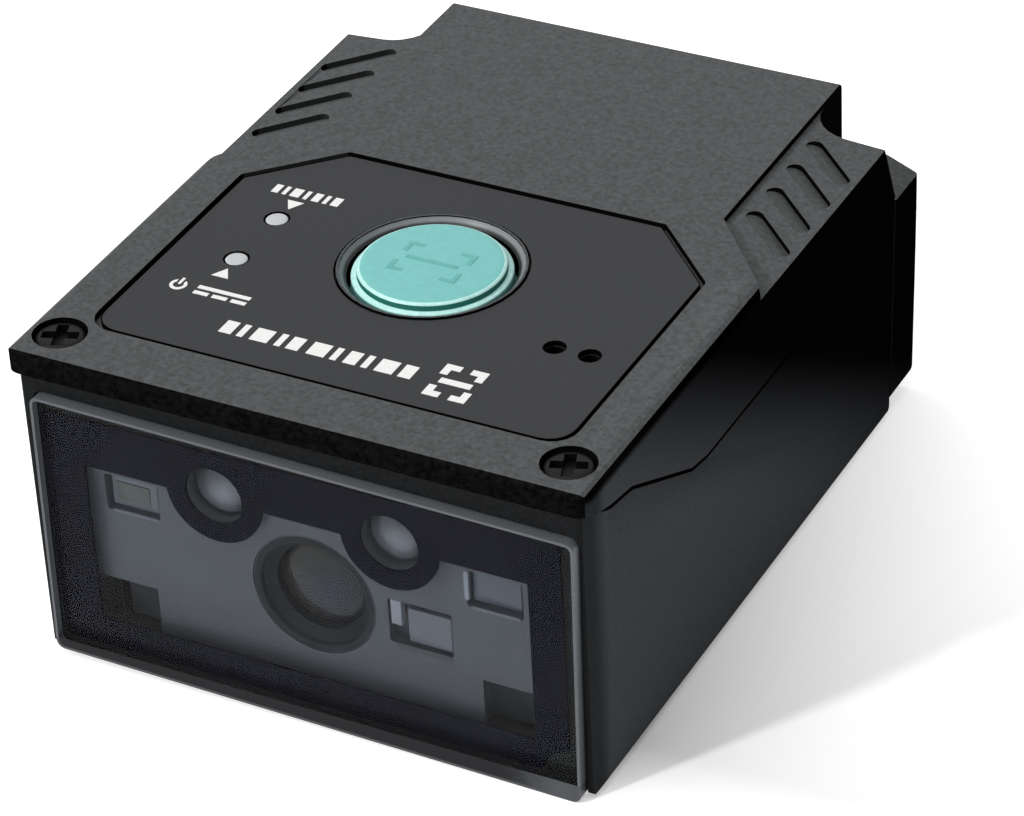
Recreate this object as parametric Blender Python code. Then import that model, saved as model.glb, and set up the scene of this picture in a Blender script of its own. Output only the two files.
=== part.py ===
"""Compact fixed-mount barcode reader.

The scan window faces -Y, +X is to the right when looking at the window, +Z is up.
The origin is on the ground, under the middle of the housing. All sizes are in metres.
"""
import math

import bmesh
import bpy
from mathutils import Vector

# Overall size
BODY_WIDTH = 0.0415
BODY_DEPTH = 0.0515
COVER_TOP = 0.0240

# Clearances, and how far a cutter runs past the solid it cuts
PAST = 0.001
SEAM_GAP = 0.0003
TRIM_GAP = 0.0001
SCREW_GAP = 0.00015
SLIDE_GAP = 0.0003

# Top cover: walls, edges and the seam, as distances from the front and drops below the top
SKIRT_WALL = 0.0011
TOP_WALL = 0.0020
COVER_EDGE_RADIUS = 0.0008
COVER_CORNER_RADIUS = 0.0012
SEAM_STEPS = (
    (0.0000, 0.0018),
    (0.00345, 0.0028),
    (0.00635, 0.0033),
    (0.01485, 0.0074),
    (0.01705, 0.0078),
)
SEAM_BEND_RADIUS = 0.0015

# Raised middle of the cover and the cheek pockets beside it
CHEEK_WIDTH = 0.0057
POCKET_FROM_BACK = 0.01935
POCKET_SWEEP = math.radians(49.6)
POCKET_DEPTH = 0.00045
POCKET_FALL = 0.0005
CHEEK_FROM_BACK = 0.00575
CHEEK_EDGE_DROP = 0.0010
CHEEK_RAKE = 0.38
CHEEK_FILLET = 0.0028
SLOT_COUNT = 4
SLOT_PITCH = 0.00325
SLOT_WIDTH = 0.0012
SLOT_SHALLOW = 0.00005
SLOT_DEPTH = 0.00045
SLOT_INSET = 0.0014
SLOT_SIDE_INSET = 0.00115
SLOT_LEAD = 0.0019

# Overlay in its recess
OVERLAY_SIDE = 0.00375
OVERLAY_FRONT = 0.0048
OVERLAY_FROM_BACK = 0.02175
OVERLAY_CHAMFER = 0.0053
OVERLAY_RADIUS = 0.0018
OVERLAY_GROOVE = 0.0003
OVERLAY_RECESS = 0.0005
OVERLAY_THICKNESS = 0.00035

# Trigger button, its collar and the switch beneath it. A place is a share of the overlay's length
BUTTON_PLACE = 0.5932
BUTTON_RADIUS = 0.00535
BUTTON_FACE_RADIUS = 0.0047
BUTTON_RISE = 0.00028
BUTTON_RIM_DROP = 0.0004
BUTTON_EDGE = 0.00025
BUTTON_FLANGE = 0.0010
BUTTON_FLANGE_THICKNESS = 0.0006
BUTTON_TRAVEL = 0.0005
BUTTON_WALL = 0.0011
COLLAR_WALL = 0.00065
COLLAR_BEVEL = 0.0004
SWITCH_SIDE = 0.0060
SWITCH_FLOOR = 0.0004
SWITCH_RIM = 0.0018
PLUNGER_RADIUS = 0.0016

# Indicators and buzzer
PIPE_RADIUS = 0.00075
PIPE_SHOULDER = 0.0004
PIPE_SHOULDER_HEIGHT = 0.0008
PIPE_FROM_SIDE = 0.00845
STATUS_PLACE = 0.6393
POWER_PLACE = 0.4248
LED_SIDE = 0.0016
LED_HEIGHT = 0.0007
BUZZER_SIDE = 0.0050
BUZZER_HEIGHT = 0.0024
BUZZER_FROM_SIDE = 0.00788
BUZZER_PLACE = 0.3768
BUZZER_HOLE_RADIUS = 0.00072
BUZZER_HOLE_SPACING = 0.00248

# Cover screws
SCREW_FROM_SIDE = 0.00255
SCREW_FROM_FRONT = 0.00305
SCREW_HEAD_RADIUS = 0.00168
SCREW_HEAD_HEIGHT = 0.0009
SCREW_HEAD_DROP = 0.0002
SCREW_SHANK_RADIUS = 0.0009
SCREW_LENGTH = 0.0080
SCREW_BOSS_RADIUS = 0.0022

# Lower housing
HOUSING_SETBACK = 0.00065
HOUSING_FLOOR = 0.0015
HOUSING_FRONT_WALL = 0.0015
HOUSING_EDGE_RADIUS = 0.0010
HOUSING_DRAFT = 0.00035
HOUSING_DRAFT_DROP = 0.0060
CORNER_WIDTH = 0.00075
CORNER_DEPTH = 0.0023
CORNER_ROUNDING = 0.0003
TONGUE_HEIGHT = 0.0010
TONGUE_WALL = 0.0007

# Scan window: a clear plate on a printed mask, set a little askew
WINDOW_SIDE_MARGIN = 0.0013
WINDOW_SILL = 0.000325
WINDOW_HEAD = 0.003525
WINDOW_THICKNESS = 0.0010
WINDOW_RADIUS = 0.0006
WINDOW_TURN = math.radians(0.8)
WINDOW_SHIFT = 0.00025
WINDOW_GAP = 0.00015
MASK_THICKNESS = 0.00025
MASK_LEFT_MARGIN = 0.00015
MASK_RIGHT_MARGIN = 0.0013
MASK_BOTTOM_MARGIN = 0.000875
MASK_TOP_MARGIN = 0.001275
MASK_NOTCH = 0.0020
VIEW_SIDE_MARGIN = 0.0034
VIEW_BOTTOM_MARGIN = 0.0022
VIEW_TOP_MARGIN = 0.00355
LAMP_SPACING = 0.0127
LAMP_FROM_TOP = 0.0033
LAMP_HOLE_RADIUS = 0.0021
LAMP_LOBE = 0.0014

# Scan engine
ENGINE_SETBACK = 0.00055
ENGINE_SIDE_MARGIN = 0.00425
ENGINE_BOTTOM_MARGIN = 0.0014
ENGINE_TOP_MARGIN = 0.0009
ENGINE_FLANGE = 0.0012
ENGINE_FLANGE_LIP = 0.0014
ENGINE_LENGTH = 0.0079
ENGINE_FACE_WALL = 0.0023
ENGINE_WALL = 0.0012
LENS_DROP = 0.000075
BARREL_RADIUS = 0.0044
BARREL_LENGTH = 0.0066
BARREL_WALL = 0.0005
BARREL_GAP = 0.00012
LENS_SETBACK = 0.0014
LENS_RADIUS = 0.0031
LENS_BULGE = 0.0006
LENS_EDGE = 0.0007
TUBE_WALL = 0.0009
FLOOD_WIDTH = 0.0040
FLOOD_HEIGHT = 0.0028
FLOOD_FROM_SIDE = 0.0033
FLOOD_FROM_TOP = 0.00235
FLOOD_DEPTH = 0.0009
AIMER_WIDTH = 0.0046
AIMER_HEIGHT = 0.0034
AIMER_FROM_LENS = 0.0077
AIMER_DROP = 0.00035
AIMER_DEPTH = 0.0010
FOOT_WIDTH = 0.0045
FOOT_HEIGHT = 0.0037
FOOT_DEPTH = 0.0014
EAR_WIDTH = 0.0044
EAR_THICKNESS = 0.0013
EAR_FROM_SIDE = 0.0040
ENGINE_BOARD_THICKNESS = 0.0008
SENSOR_WIDTH = 0.0062
SENSOR_HEIGHT = 0.0052
SENSOR_THICKNESS = 0.0009

# Main board under the cover
BOARD_DROP = 0.0034
BOARD_THICKNESS = 0.0010
BOARD_EDGE_GAP = 0.0021
BOARD_BEHIND_ENGINE = 0.0006
BOARD_BACK_GAP = 0.0005
BOARD_POST_RADIUS = 0.0018
BOARD_SCREW_RADIUS = 0.0007
BOARD_SCREW_HEAD = 0.0014
BOARD_SCREW_HEAD_HEIGHT = 0.0009
BOARD_SCREW_LENGTH = 0.0034
BOARD_FRONT_POST_FROM_SIDE = 0.00615
BOARD_FRONT_POST_FROM_FRONT = 0.02475
BOARD_BACK_POST_FROM_SIDE = 0.00925
BOARD_BACK_POST_FROM_BACK = 0.0108
SOCKET_WIDTH = 0.0100
SOCKET_DEPTH = 0.0042
SOCKET_HEIGHT = 0.0030
SOCKET_FROM_BACK = 0.0130
FLEX_WIDTH = 0.0080
FLEX_THICKNESS = 0.0002
FLEX_BEND = 0.0016
FLEX_LENGTH = 0.0050
FLEX_DROP = 0.0068

# Rear panel and cable gland
PANEL_DEPTH = 0.00385
PANEL_BOTTOM = 0.0010
PANEL_DROP = 0.0060
PANEL_WALL = 0.0015
PANEL_EDGE_RADIUS = 0.0002
SHOULDER_RISE = 0.0011
PLUG_LENGTH = 0.0018
PLUG_WALL = 0.0012
PLUG_BOTTOM = 0.0020
PLUG_TOP_MARGIN = 0.0026
GLAND_BELOW_MIDDLE = 0.0003
GLAND_RADIUS = 0.0033
GLAND_FLANGE = 0.0011
GLAND_FLANGE_THICKNESS = 0.0010
GLAND_BORE = 0.0019
GLAND_GAP = 0.0001
GLAND_DISH = 0.0012
PANEL_SCREW_FROM_SIDE = 0.00615
PANEL_SCREW_HEIGHT = 0.0050
PANEL_SCREW_HEAD = 0.0015
PANEL_SCREW_HEAD_HEIGHT = 0.0009
PANEL_SCREW_RADIUS = 0.0008
PANEL_SCREW_LENGTH = 0.0090
PANEL_POST_RADIUS = 0.0019

# Threaded inserts in the underside
INSERT_RADIUS = 0.0020
INSERT_LENGTH = 0.0045
INSERT_BORE = 0.00125
INSERT_FROM_SIDE = 0.00875
INSERT_FROM_BACK = 0.0200
INSERT_BOSS_WALL = 0.0011
INSERT_DROP = 0.00005

# Ribs under the engine and the depth of every boss in the floor
RAIL_HALF = 0.0010
BORE_FLOOR = 0.0004
FLOOR_BITE = 0.0005

FINE = 40
ROUND = 24
SCREW_SIDES = 16
SMALL = 12

HALF = BODY_WIDTH / 2
FRONT = -BODY_DEPTH / 2
BACK = BODY_DEPTH / 2
CEILING = COVER_TOP - TOP_WALL
SEAM_PATH = [(FRONT + run, COVER_TOP - drop) for run, drop in SEAM_STEPS]
HOUSING_DRAFT_HEIGHT = COVER_TOP - HOUSING_DRAFT_DROP
BOARD_TOP = CEILING - BOARD_DROP
PANEL_TOP = COVER_TOP - PANEL_DROP
PLUG_TOP = PANEL_TOP - PLUG_TOP_MARGIN
GLAND_HEIGHT = (PANEL_BOTTOM + PANEL_TOP) / 2 - GLAND_BELOW_MIDDLE
WINDOW_HEIGHT = COVER_TOP - WINDOW_SILL - WINDOW_HEAD
WINDOW_CENTRE = WINDOW_SILL + WINDOW_HEIGHT / 2
HOUSING_FRONT = FRONT + HOUSING_SETBACK
PANEL_FRONT = BACK - PANEL_DEPTH
HOUSING_BACK = PANEL_FRONT - SEAM_GAP
SKIRT_INSIDE = HALF - SKIRT_WALL
TONGUE_SIDE = SKIRT_INSIDE - SEAM_GAP
CAVITY_SIDE = TONGUE_SIDE - TONGUE_WALL
MIDDLE_HALF = HALF - CHEEK_WIDTH
MASK_FRONT = FRONT + WINDOW_THICKNESS + TRIM_GAP
SEAT_Y = MASK_FRONT + MASK_THICKNESS + TRIM_GAP
ENGINE_FRONT = SEAT_Y + ENGINE_SETBACK
ENGINE_BACK = ENGINE_FRONT + ENGINE_LENGTH
ENGINE_BOARD_FRONT = ENGINE_BACK + TRIM_GAP
ENGINE_BOARD_BACK = ENGINE_BOARD_FRONT + ENGINE_BOARD_THICKNESS
EAR_Y = ENGINE_BOARD_BACK + SEAM_GAP + BOARD_SCREW_HEAD
BOARD_BOTTOM = BOARD_TOP - BOARD_THICKNESS
BOARD_HALF = SKIRT_INSIDE - SEAM_GAP - BOARD_EDGE_GAP
BOARD_FRONT = ENGINE_BACK + ENGINE_BOARD_THICKNESS + TRIM_GAP + BOARD_BEHIND_ENGINE
CHEEK_WALL_FRONT = BACK - CHEEK_FROM_BACK - SKIRT_WALL * 1.5
BOARD_BACK = CHEEK_WALL_FRONT - BOARD_BACK_GAP
OVERLAY_NEAR = FRONT + OVERLAY_FRONT
OVERLAY_FAR = BACK - OVERLAY_FROM_BACK
OVERLAY_LENGTH = OVERLAY_FAR - OVERLAY_NEAR
BUTTON_Y = OVERLAY_NEAR + OVERLAY_LENGTH * BUTTON_PLACE
STATUS_Y = OVERLAY_NEAR + OVERLAY_LENGTH * STATUS_PLACE
POWER_Y = OVERLAY_NEAR + OVERLAY_LENGTH * POWER_PLACE
BUZZER_Y = OVERLAY_NEAR + OVERLAY_LENGTH * BUZZER_PLACE
PIPE_X = HALF - PIPE_FROM_SIDE
BUZZER_X = HALF - BUZZER_FROM_SIDE
SCREW_X = HALF - SCREW_FROM_SIDE
SCREW_Y = FRONT + SCREW_FROM_FRONT
OVERLAY_HALF = HALF - OVERLAY_SIDE
COLLAR_BORE = BUTTON_RADIUS + SLIDE_GAP
COLLAR_RADIUS = COLLAR_BORE + COLLAR_WALL
OVERLAY_BASE = COVER_TOP - OVERLAY_RECESS
GLAND_Y = BACK - GLAND_DISH
WINDOW_HALF = HALF - WINDOW_SIDE_MARGIN
MASK_LEFT = WINDOW_SHIFT - WINDOW_HALF + MASK_LEFT_MARGIN
MASK_RIGHT = WINDOW_SHIFT + WINDOW_HALF - MASK_RIGHT_MARGIN
MASK_BOTTOM = WINDOW_CENTRE - WINDOW_HEIGHT / 2 + MASK_BOTTOM_MARGIN
MASK_TOP = WINDOW_CENTRE + WINDOW_HEIGHT / 2 - MASK_TOP_MARGIN
VIEW_HALF = WINDOW_HALF - VIEW_SIDE_MARGIN
VIEW_BOTTOM = MASK_BOTTOM + VIEW_BOTTOM_MARGIN
VIEW_TOP = MASK_TOP - VIEW_TOP_MARGIN
LAMP_HEIGHT = MASK_TOP - LAMP_FROM_TOP
ENGINE_HALF = HALF - ENGINE_SIDE_MARGIN
ENGINE_BODY_HALF = ENGINE_HALF - ENGINE_FLANGE_LIP
ENGINE_BOTTOM = MASK_BOTTOM + ENGINE_BOTTOM_MARGIN
ENGINE_TOP = MASK_TOP - ENGINE_TOP_MARGIN
LENS_HEIGHT = (VIEW_BOTTOM + VIEW_TOP) / 2 - LENS_DROP
FLOOD_X = ENGINE_HALF - FLOOD_FROM_SIDE
FLOOD_CENTRE = VIEW_TOP - FLOOD_FROM_TOP
AIMER_CENTRE = LENS_HEIGHT - AIMER_DROP
EAR_X = ENGINE_HALF - EAR_FROM_SIDE
PANEL_SCREW_X = HALF - PANEL_SCREW_FROM_SIDE
INSERT_X = HALF - INSERT_FROM_SIDE


def clear_scene():
    for obj in list(bpy.data.objects):
        bpy.data.objects.remove(obj)


def linear(channel):
    """One sRGB channel (0 to 255) as a linear value."""
    value = channel / 255
    return value / 12.92 if value <= 0.04045 else ((value + 0.055) / 1.055) ** 2.4


def material(name, rgb, roughness, metallic=0.0, transmission=0.0):
    found = bpy.data.materials.get(name)
    if found:
        return found
    made = bpy.data.materials.new(name)
    made.use_nodes = True
    shader = made.node_tree.nodes["Principled BSDF"]
    colour = (*(linear(channel) for channel in rgb), 1.0)
    shader.inputs["Base Color"].default_value = colour
    shader.inputs["Roughness"].default_value = roughness
    shader.inputs["Metallic"].default_value = metallic
    shader.inputs["Transmission Weight"].default_value = transmission
    made.diffuse_color = colour
    return made


def cover_plastic():
    return material("cover_plastic", (44, 45, 47), 0.62)


def housing_plastic():
    return material("housing_plastic", (36, 37, 39), 0.55)


def overlay_film():
    return material("overlay_film", (52, 53, 55), 0.45)


def button_rubber():
    return material("button_plastic", (76, 190, 170), 0.42)


def clear_plastic():
    return material("clear_plastic", (235, 240, 242), 0.05, 0.0, 1.0)


def mask_ink():
    return material("mask_ink", (20, 20, 22), 0.40)


def engine_plastic():
    return material("engine_plastic", (128, 134, 142), 0.50)


def black_metal():
    return material("black_metal", (30, 30, 32), 0.35, 0.8)


def steel():
    return material("steel", (170, 172, 175), 0.30, 1.0)


def brass():
    return material("brass", (190, 155, 80), 0.30, 1.0)


def board_green():
    return material("board_green", (30, 84, 60), 0.45)


def black_part():
    return material("black_part", (24, 24, 26), 0.50)


def lamp_white():
    return material("lamp_white", (232, 230, 215), 0.40)


def rubber():
    return material("rubber", (28, 28, 28), 0.80)


def film():
    return material("flex_film", (150, 100, 40), 0.40)


def rounded(corners, sides=4):
    """A closed outline from (u, v, radius) corners, each radius turned into an arc."""
    points = []
    count = len(corners)
    for index, (u, v, radius) in enumerate(corners):
        here = Vector((u, v))
        before = Vector(corners[index - 1][:2])
        after = Vector(corners[(index + 1) % count][:2])
        back = (before - here).normalized()
        on = (after - here).normalized()
        angle = back.angle(on)
        if radius <= 0 or angle > math.pi - 1e-4:
            points.append((u, v))
            continue
        reach = radius / math.tan(angle / 2)
        middle = here + (back + on).normalized() * (radius / math.sin(angle / 2))
        start = here + back * reach - middle
        end = here + on * reach - middle
        turn = start.angle_signed(end)
        first = math.atan2(start.y, start.x)
        for step in range(sides + 1):
            at = first - turn * step / sides
            points.append((middle.x + radius * math.cos(at), middle.y + radius * math.sin(at)))
    return points


def circle(u, v, radius, count=ROUND):
    return [
        (u + radius * math.cos(math.tau * k / count), v + radius * math.sin(math.tau * k / count))
        for k in range(count)
    ]


def rectangle(u0, v0, u1, v1, radius=0.0, sides=4):
    return rounded([(u0, v0, radius), (u1, v0, radius), (u1, v1, radius), (u0, v1, radius)], sides)


def placed(axis, u, v, w):
    """A point from its two outline coordinates and its height along the axis."""
    return {"X": (w, u, v), "Y": (u, w, v), "Z": (u, v, w)}[axis]


def skin(name, rings, looks=None, smooth=None):
    """An object from rings of points with the same count, capped at both ends."""
    bm = bmesh.new()
    loops = [[bm.verts.new(point) for point in ring] for ring in rings]
    for low, high in zip(loops, loops[1:]):
        for k in range(len(low)):
            n = (k + 1) % len(low)
            bm.faces.new((low[k], low[n], high[n], high[k]))
    bm.faces.new(loops[0])
    bm.faces.new(loops[-1])
    return finished(name, bm, looks, smooth)


def finished(name, bm, looks, smooth):
    """Turns the shape's faces outwards and makes its object."""
    bmesh.ops.recalc_face_normals(bm, faces=bm.faces)
    if bm.calc_volume(signed=True) < 0:
        bmesh.ops.reverse_faces(bm, faces=bm.faces)
    mesh = bpy.data.meshes.new(name)
    bm.to_mesh(mesh)
    bm.free()
    return added(name, mesh, looks, smooth)


def added(name, mesh, looks=None, smooth=None):
    obj = bpy.data.objects.new(name, mesh)
    bpy.context.scene.collection.objects.link(obj)
    if looks:
        mesh.materials.append(looks)
    else:
        obj.hide_render = True
        obj.display_type = "WIRE"
    if smooth:
        mesh.shade_smooth()
        mesh.set_sharp_from_angle(angle=math.radians(smooth))
    return obj


def prism(name, outline, axis, low, high, looks=None, smooth=None):
    rings = [[placed(axis, u, v, w) for u, v in outline] for w in (low, high)]
    return skin(name, rings, looks, smooth)


def block(name, x0, x1, y0, y1, z0, z1, looks=None):
    return prism(name, rectangle(x0, y0, x1, y1), "Z", z0, z1, looks)


def turned(name, profile, axis="Z", u=0.0, v=0.0, looks=None, count=ROUND, smooth=35):
    """A body turned from (radius, height) points about an axis through (u, v)."""
    bm = bmesh.new()
    points = [bm.verts.new((radius, 0, height)) for radius, height in profile]
    edges = [bm.edges.new((points[k - 1], points[k])) for k in range(len(points))]
    bmesh.ops.spin(
        bm, geom=points + edges, cent=(0, 0, 0), axis=(0, 0, 1), angle=math.tau,
        steps=count, use_merge=True, use_duplicate=False,
    )
    bmesh.ops.remove_doubles(bm, verts=bm.verts, dist=1e-7)
    bmesh.ops.dissolve_degenerate(bm, edges=bm.edges, dist=1e-8)
    for vert in bm.verts:
        x, y, z = vert.co
        vert.co = placed(axis, u + x, v + y, z)
    return finished(name, bm, looks, smooth)


def boolean(target, other, operation):
    modifier = target.modifiers.new(other.name, "BOOLEAN")
    modifier.operation = operation
    modifier.object = other
    modifier.solver = "EXACT"
    return target


def cut(target, *others):
    for other in others:
        boolean(target, other, "DIFFERENCE")
    return target


def join(target, *others):
    for other in others:
        boolean(target, other, "UNION")
    return target


def keep(target, *others):
    for other in others:
        boolean(target, other, "INTERSECT")
    return target


def under_seam_outline(drop, bottom, back, radius):
    """The side outline below the seam, which is moved down by drop."""
    path = [(y, z - drop) for y, z in SEAM_PATH]
    last = path[-1]
    corners = [(HOUSING_FRONT, path[0][1], 0)]
    corners += [(y, z, SEAM_BEND_RADIUS) for y, z in path[1:]]
    corners += [(back, last[1], 0), (back, bottom, 0), (HOUSING_FRONT, bottom, radius)]
    return rounded(corners, 3)


def cheek_edge(z):
    """Where the rear end of a cheek stands at height z: it leans towards the back."""
    return BACK - CHEEK_FROM_BACK + (COVER_TOP - CHEEK_EDGE_DROP - z) * CHEEK_RAKE


def pocket_floor(x):
    along = (abs(x) - MIDDLE_HALF) / (HALF - MIDDLE_HALF)
    return COVER_TOP - POCKET_DEPTH - POCKET_FALL * along


def sloped(obj, low, drop):
    """Lowers the bottom points of a cutter below the pocket's floor, by drop at each point."""
    for vert in obj.data.vertices:
        if vert.co.z < low + 1e-6:
            vert.co.z = pocket_floor(vert.co.x) - drop(abs(vert.co.x), vert.co.y)
    obj.data.update()
    return obj


def mirrored(outline, side):
    return [(side * x, y) for x, y in outline]


def notch_outline(z):
    edge = cheek_edge(z)
    out = HALF + PAST * 2
    back = BACK + PAST * 2
    return rounded([(MIDDLE_HALF, back, 0), (MIDDLE_HALF, edge, CHEEK_FILLET), (out, edge, 0),
                    (out, back, 0)], 6)


def cheek_cutters(side):
    """The rear notch, the sloping pocket and its slots, which deepen towards the back."""
    tag = "right" if side > 0 else "left"
    low, high = PANEL_TOP - PAST * 2.5, COVER_TOP + PAST
    rings = [
        [(x, y, z) for x, y in mirrored(notch_outline(z), side)] for z in (low, high)
    ]
    cutters = [skin(f"notch_{tag}", rings)]
    front = BACK - POCKET_FROM_BACK
    out = HALF + PAST
    reach = (out - MIDDLE_HALF) * math.tan(POCKET_SWEEP)
    back = BACK - CHEEK_FROM_BACK + PAST * 3
    plan = [(MIDDLE_HALF, front), (out, front - reach), (out, back), (MIDDLE_HALF, back)]
    base = COVER_TOP - PAST
    pocket = prism(f"pocket_{tag}", mirrored(plan, side), "Z", base, COVER_TOP + PAST)
    cutters.append(sloped(pocket, base, lambda x, y: 0))
    inner, outer = MIDDLE_HALF + SLOT_INSET, HALF - SLOT_SIDE_INSET
    across = (outer - inner) * math.tan(POCKET_SWEEP - math.radians(7))
    for k in range(SLOT_COUNT):
        y = front + SLOT_LEAD + k * SLOT_PITCH
        along = Vector((outer - inner, -across)).normalized() * SLOT_WIDTH / 2
        side_step = Vector((-along.y, along.x))
        a, b = Vector((inner, y)), Vector((outer, y - across))
        corners = [a - along - side_step, b + along - side_step, b + along + side_step,
                   a - along + side_step]
        plan = rounded([(p.x, p.y, SLOT_WIDTH * 0.45) for p in corners], 4)
        slot = prism(f"slot_{tag}_{k + 1}", mirrored(plan, side), "Z", base, COVER_TOP + PAST)

        def drop(x, y, start=a, step=side_step):
            share = (Vector((x, y)) - start).dot(step) / step.length_squared / 2 + 0.5
            return SLOT_SHALLOW + (SLOT_DEPTH - SLOT_SHALLOW) * share

        cutters.append(sloped(slot, base, drop))
    return cutters


def overlay_outline(grow):
    half = OVERLAY_HALF + grow
    front = OVERLAY_NEAR - grow
    back = OVERLAY_FAR + grow
    chamfer = OVERLAY_CHAMFER + grow * 0.4
    radius = OVERLAY_RADIUS
    return rounded([(-half, front, radius), (half, front, radius), (half, back - chamfer, 0.0004),
                    (half - chamfer, back, 0.0004), (chamfer - half, back, 0.0004),
                    (-half, back - chamfer, 0.0004)], 5)


def cover_holes():
    """Positions and radii of the holes that pass through both cover and overlay."""
    pipes = [(-PIPE_X, y, PIPE_RADIUS + TRIM_GAP) for y in (STATUS_Y, POWER_Y)]
    half = BUZZER_HOLE_SPACING / 2
    sound = [(BUZZER_X + step, BUZZER_Y, BUZZER_HOLE_RADIUS) for step in (-half, half)]
    return pipes + sound


def board_posts():
    return [
        (side * x, y)
        for x, y in (
            (HALF - BOARD_FRONT_POST_FROM_SIDE, FRONT + BOARD_FRONT_POST_FROM_FRONT),
            (HALF - BOARD_BACK_POST_FROM_SIDE, BACK - BOARD_BACK_POST_FROM_BACK),
        )
        for side in (-1, 1)
    ]


def cavity_plan():
    """The cover is hollow out to its skirts, and narrower behind the cheeks."""
    side = SKIRT_INSIDE
    middle = MIDDLE_HALF - SKIRT_WALL
    front = FRONT + SKIRT_WALL
    back = BACK - SKIRT_WALL
    cheek = CHEEK_WALL_FRONT
    return [(-side, front), (side, front), (side, cheek), (middle, cheek), (middle, back),
            (-middle, back), (-middle, cheek), (-side, cheek)]


def top_cover():
    top = COVER_TOP
    path = [(y, z + SEAM_GAP / 2) for y, z in SEAM_PATH]
    low = path[-1][1] - PAST
    section = rounded([(-HALF, low, 0), (HALF, low, 0), (HALF, top, COVER_EDGE_RADIUS),
                       (-HALF, top, COVER_EDGE_RADIUS)], 4)
    cover = prism("top_cover", section, "Y", FRONT - PAST, BACK + PAST, cover_plastic())
    corners = [(path[0][0], path[0][1], 0)]
    corners += [(y, z, SEAM_BEND_RADIUS) for y, z in path[1:]]
    corners += [(HOUSING_BACK, path[-1][1], 0), (HOUSING_BACK, PANEL_TOP + SEAM_GAP, 0),
                (BACK, PANEL_TOP + SEAM_GAP, 0), (BACK, top, COVER_EDGE_RADIUS * 0.6),
                (FRONT, top, COVER_EDGE_RADIUS)]
    side = prism("cover_side", rounded(corners, 3), "X", -HALF - PAST, HALF + PAST)
    radius = COVER_CORNER_RADIUS
    plan = rounded([(-HALF, FRONT, radius), (HALF, FRONT, radius), (HALF, BACK, 0),
                    (-HALF, BACK, 0)], 5)
    keep(cover, side, prism("cover_plan", plan, "Z", 0, top + PAST))
    cut(cover, prism("cover_cavity", cavity_plan(), "Z", low - PAST, CEILING))
    for hand in (-1, 1):
        cut(cover, *cheek_cutters(hand))
    recess = prism("overlay_recess", overlay_outline(OVERLAY_GROOVE), "Z", OVERLAY_BASE, top + PAST)
    cut(recess, prism("collar", circle(0, BUTTON_Y, COLLAR_RADIUS, FINE), "Z", OVERLAY_BASE - PAST,
                      top + PAST * 2))
    cut(cover, recess)
    bore = COLLAR_BORE
    flare = COLLAR_RADIUS - COLLAR_BEVEL * 0.4
    cut(cover, turned("button_bore", [(0, CEILING - PAST), (bore, CEILING - PAST),
                                      (bore, top - COLLAR_BEVEL - TRIM_GAP), (flare, top - TRIM_GAP),
                                      (flare, top + PAST), (0, top + PAST)],
                      "Z", 0, BUTTON_Y, count=FINE))
    for k, (x, y, hole) in enumerate(cover_holes()):
        cut(cover, prism(f"cover_hole_{k}", circle(x, y, hole, SMALL), "Z", CEILING - PAST, top))
    for k, (x, y) in enumerate(board_posts()):
        post = turned(f"post_{k}", [(0, BOARD_TOP + TRIM_GAP), (BOARD_POST_RADIUS, BOARD_TOP + TRIM_GAP),
                                    (BOARD_POST_RADIUS, CEILING + FLOOR_BITE),
                                    (0, CEILING + FLOOR_BITE)],
                      "Z", x, y, count=SMALL)
        join(cover, post)
        bore = BOARD_SCREW_RADIUS + TRIM_GAP
        cut(cover, prism(f"post_bore_{k}", circle(x, y, bore, SMALL), "Z", BOARD_BOTTOM,
                         CEILING - SEAM_GAP))
    seat = top - SCREW_HEAD_DROP - SCREW_HEAD_HEIGHT
    for hand in (-1, 1):
        x = hand * SCREW_X
        sink = turned(f"screw_sink_{hand}",
                      [(0, seat), (SCREW_HEAD_RADIUS + SCREW_GAP, seat),
                       (SCREW_HEAD_RADIUS + SCREW_GAP, top + PAST), (0, top + PAST)],
                      "Z", x, SCREW_Y)
        hole = prism(f"screw_hole_{hand}", circle(x, SCREW_Y, SCREW_SHANK_RADIUS + SCREW_GAP, SMALL),
                     "Z", low, top)
        cut(cover, sink, hole)
    return cover


def top_overlay():
    top = OVERLAY_BASE + TRIM_GAP / 2 + OVERLAY_THICKNESS
    overlay = prism("top_overlay", overlay_outline(0), "Z", OVERLAY_BASE + TRIM_GAP / 2, top,
                    overlay_film())
    ring = circle(0, BUTTON_Y, COLLAR_RADIUS + TRIM_GAP, FINE)
    below, above = OVERLAY_BASE - PAST, COVER_TOP + PAST
    cut(overlay, prism("overlay_collar_hole", ring, "Z", below, above))
    for k, (x, y, hole) in enumerate(cover_holes()):
        cut(overlay, prism(f"overlay_hole_{k}", circle(x, y, hole, SMALL), "Z", below, above))
    return overlay


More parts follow.
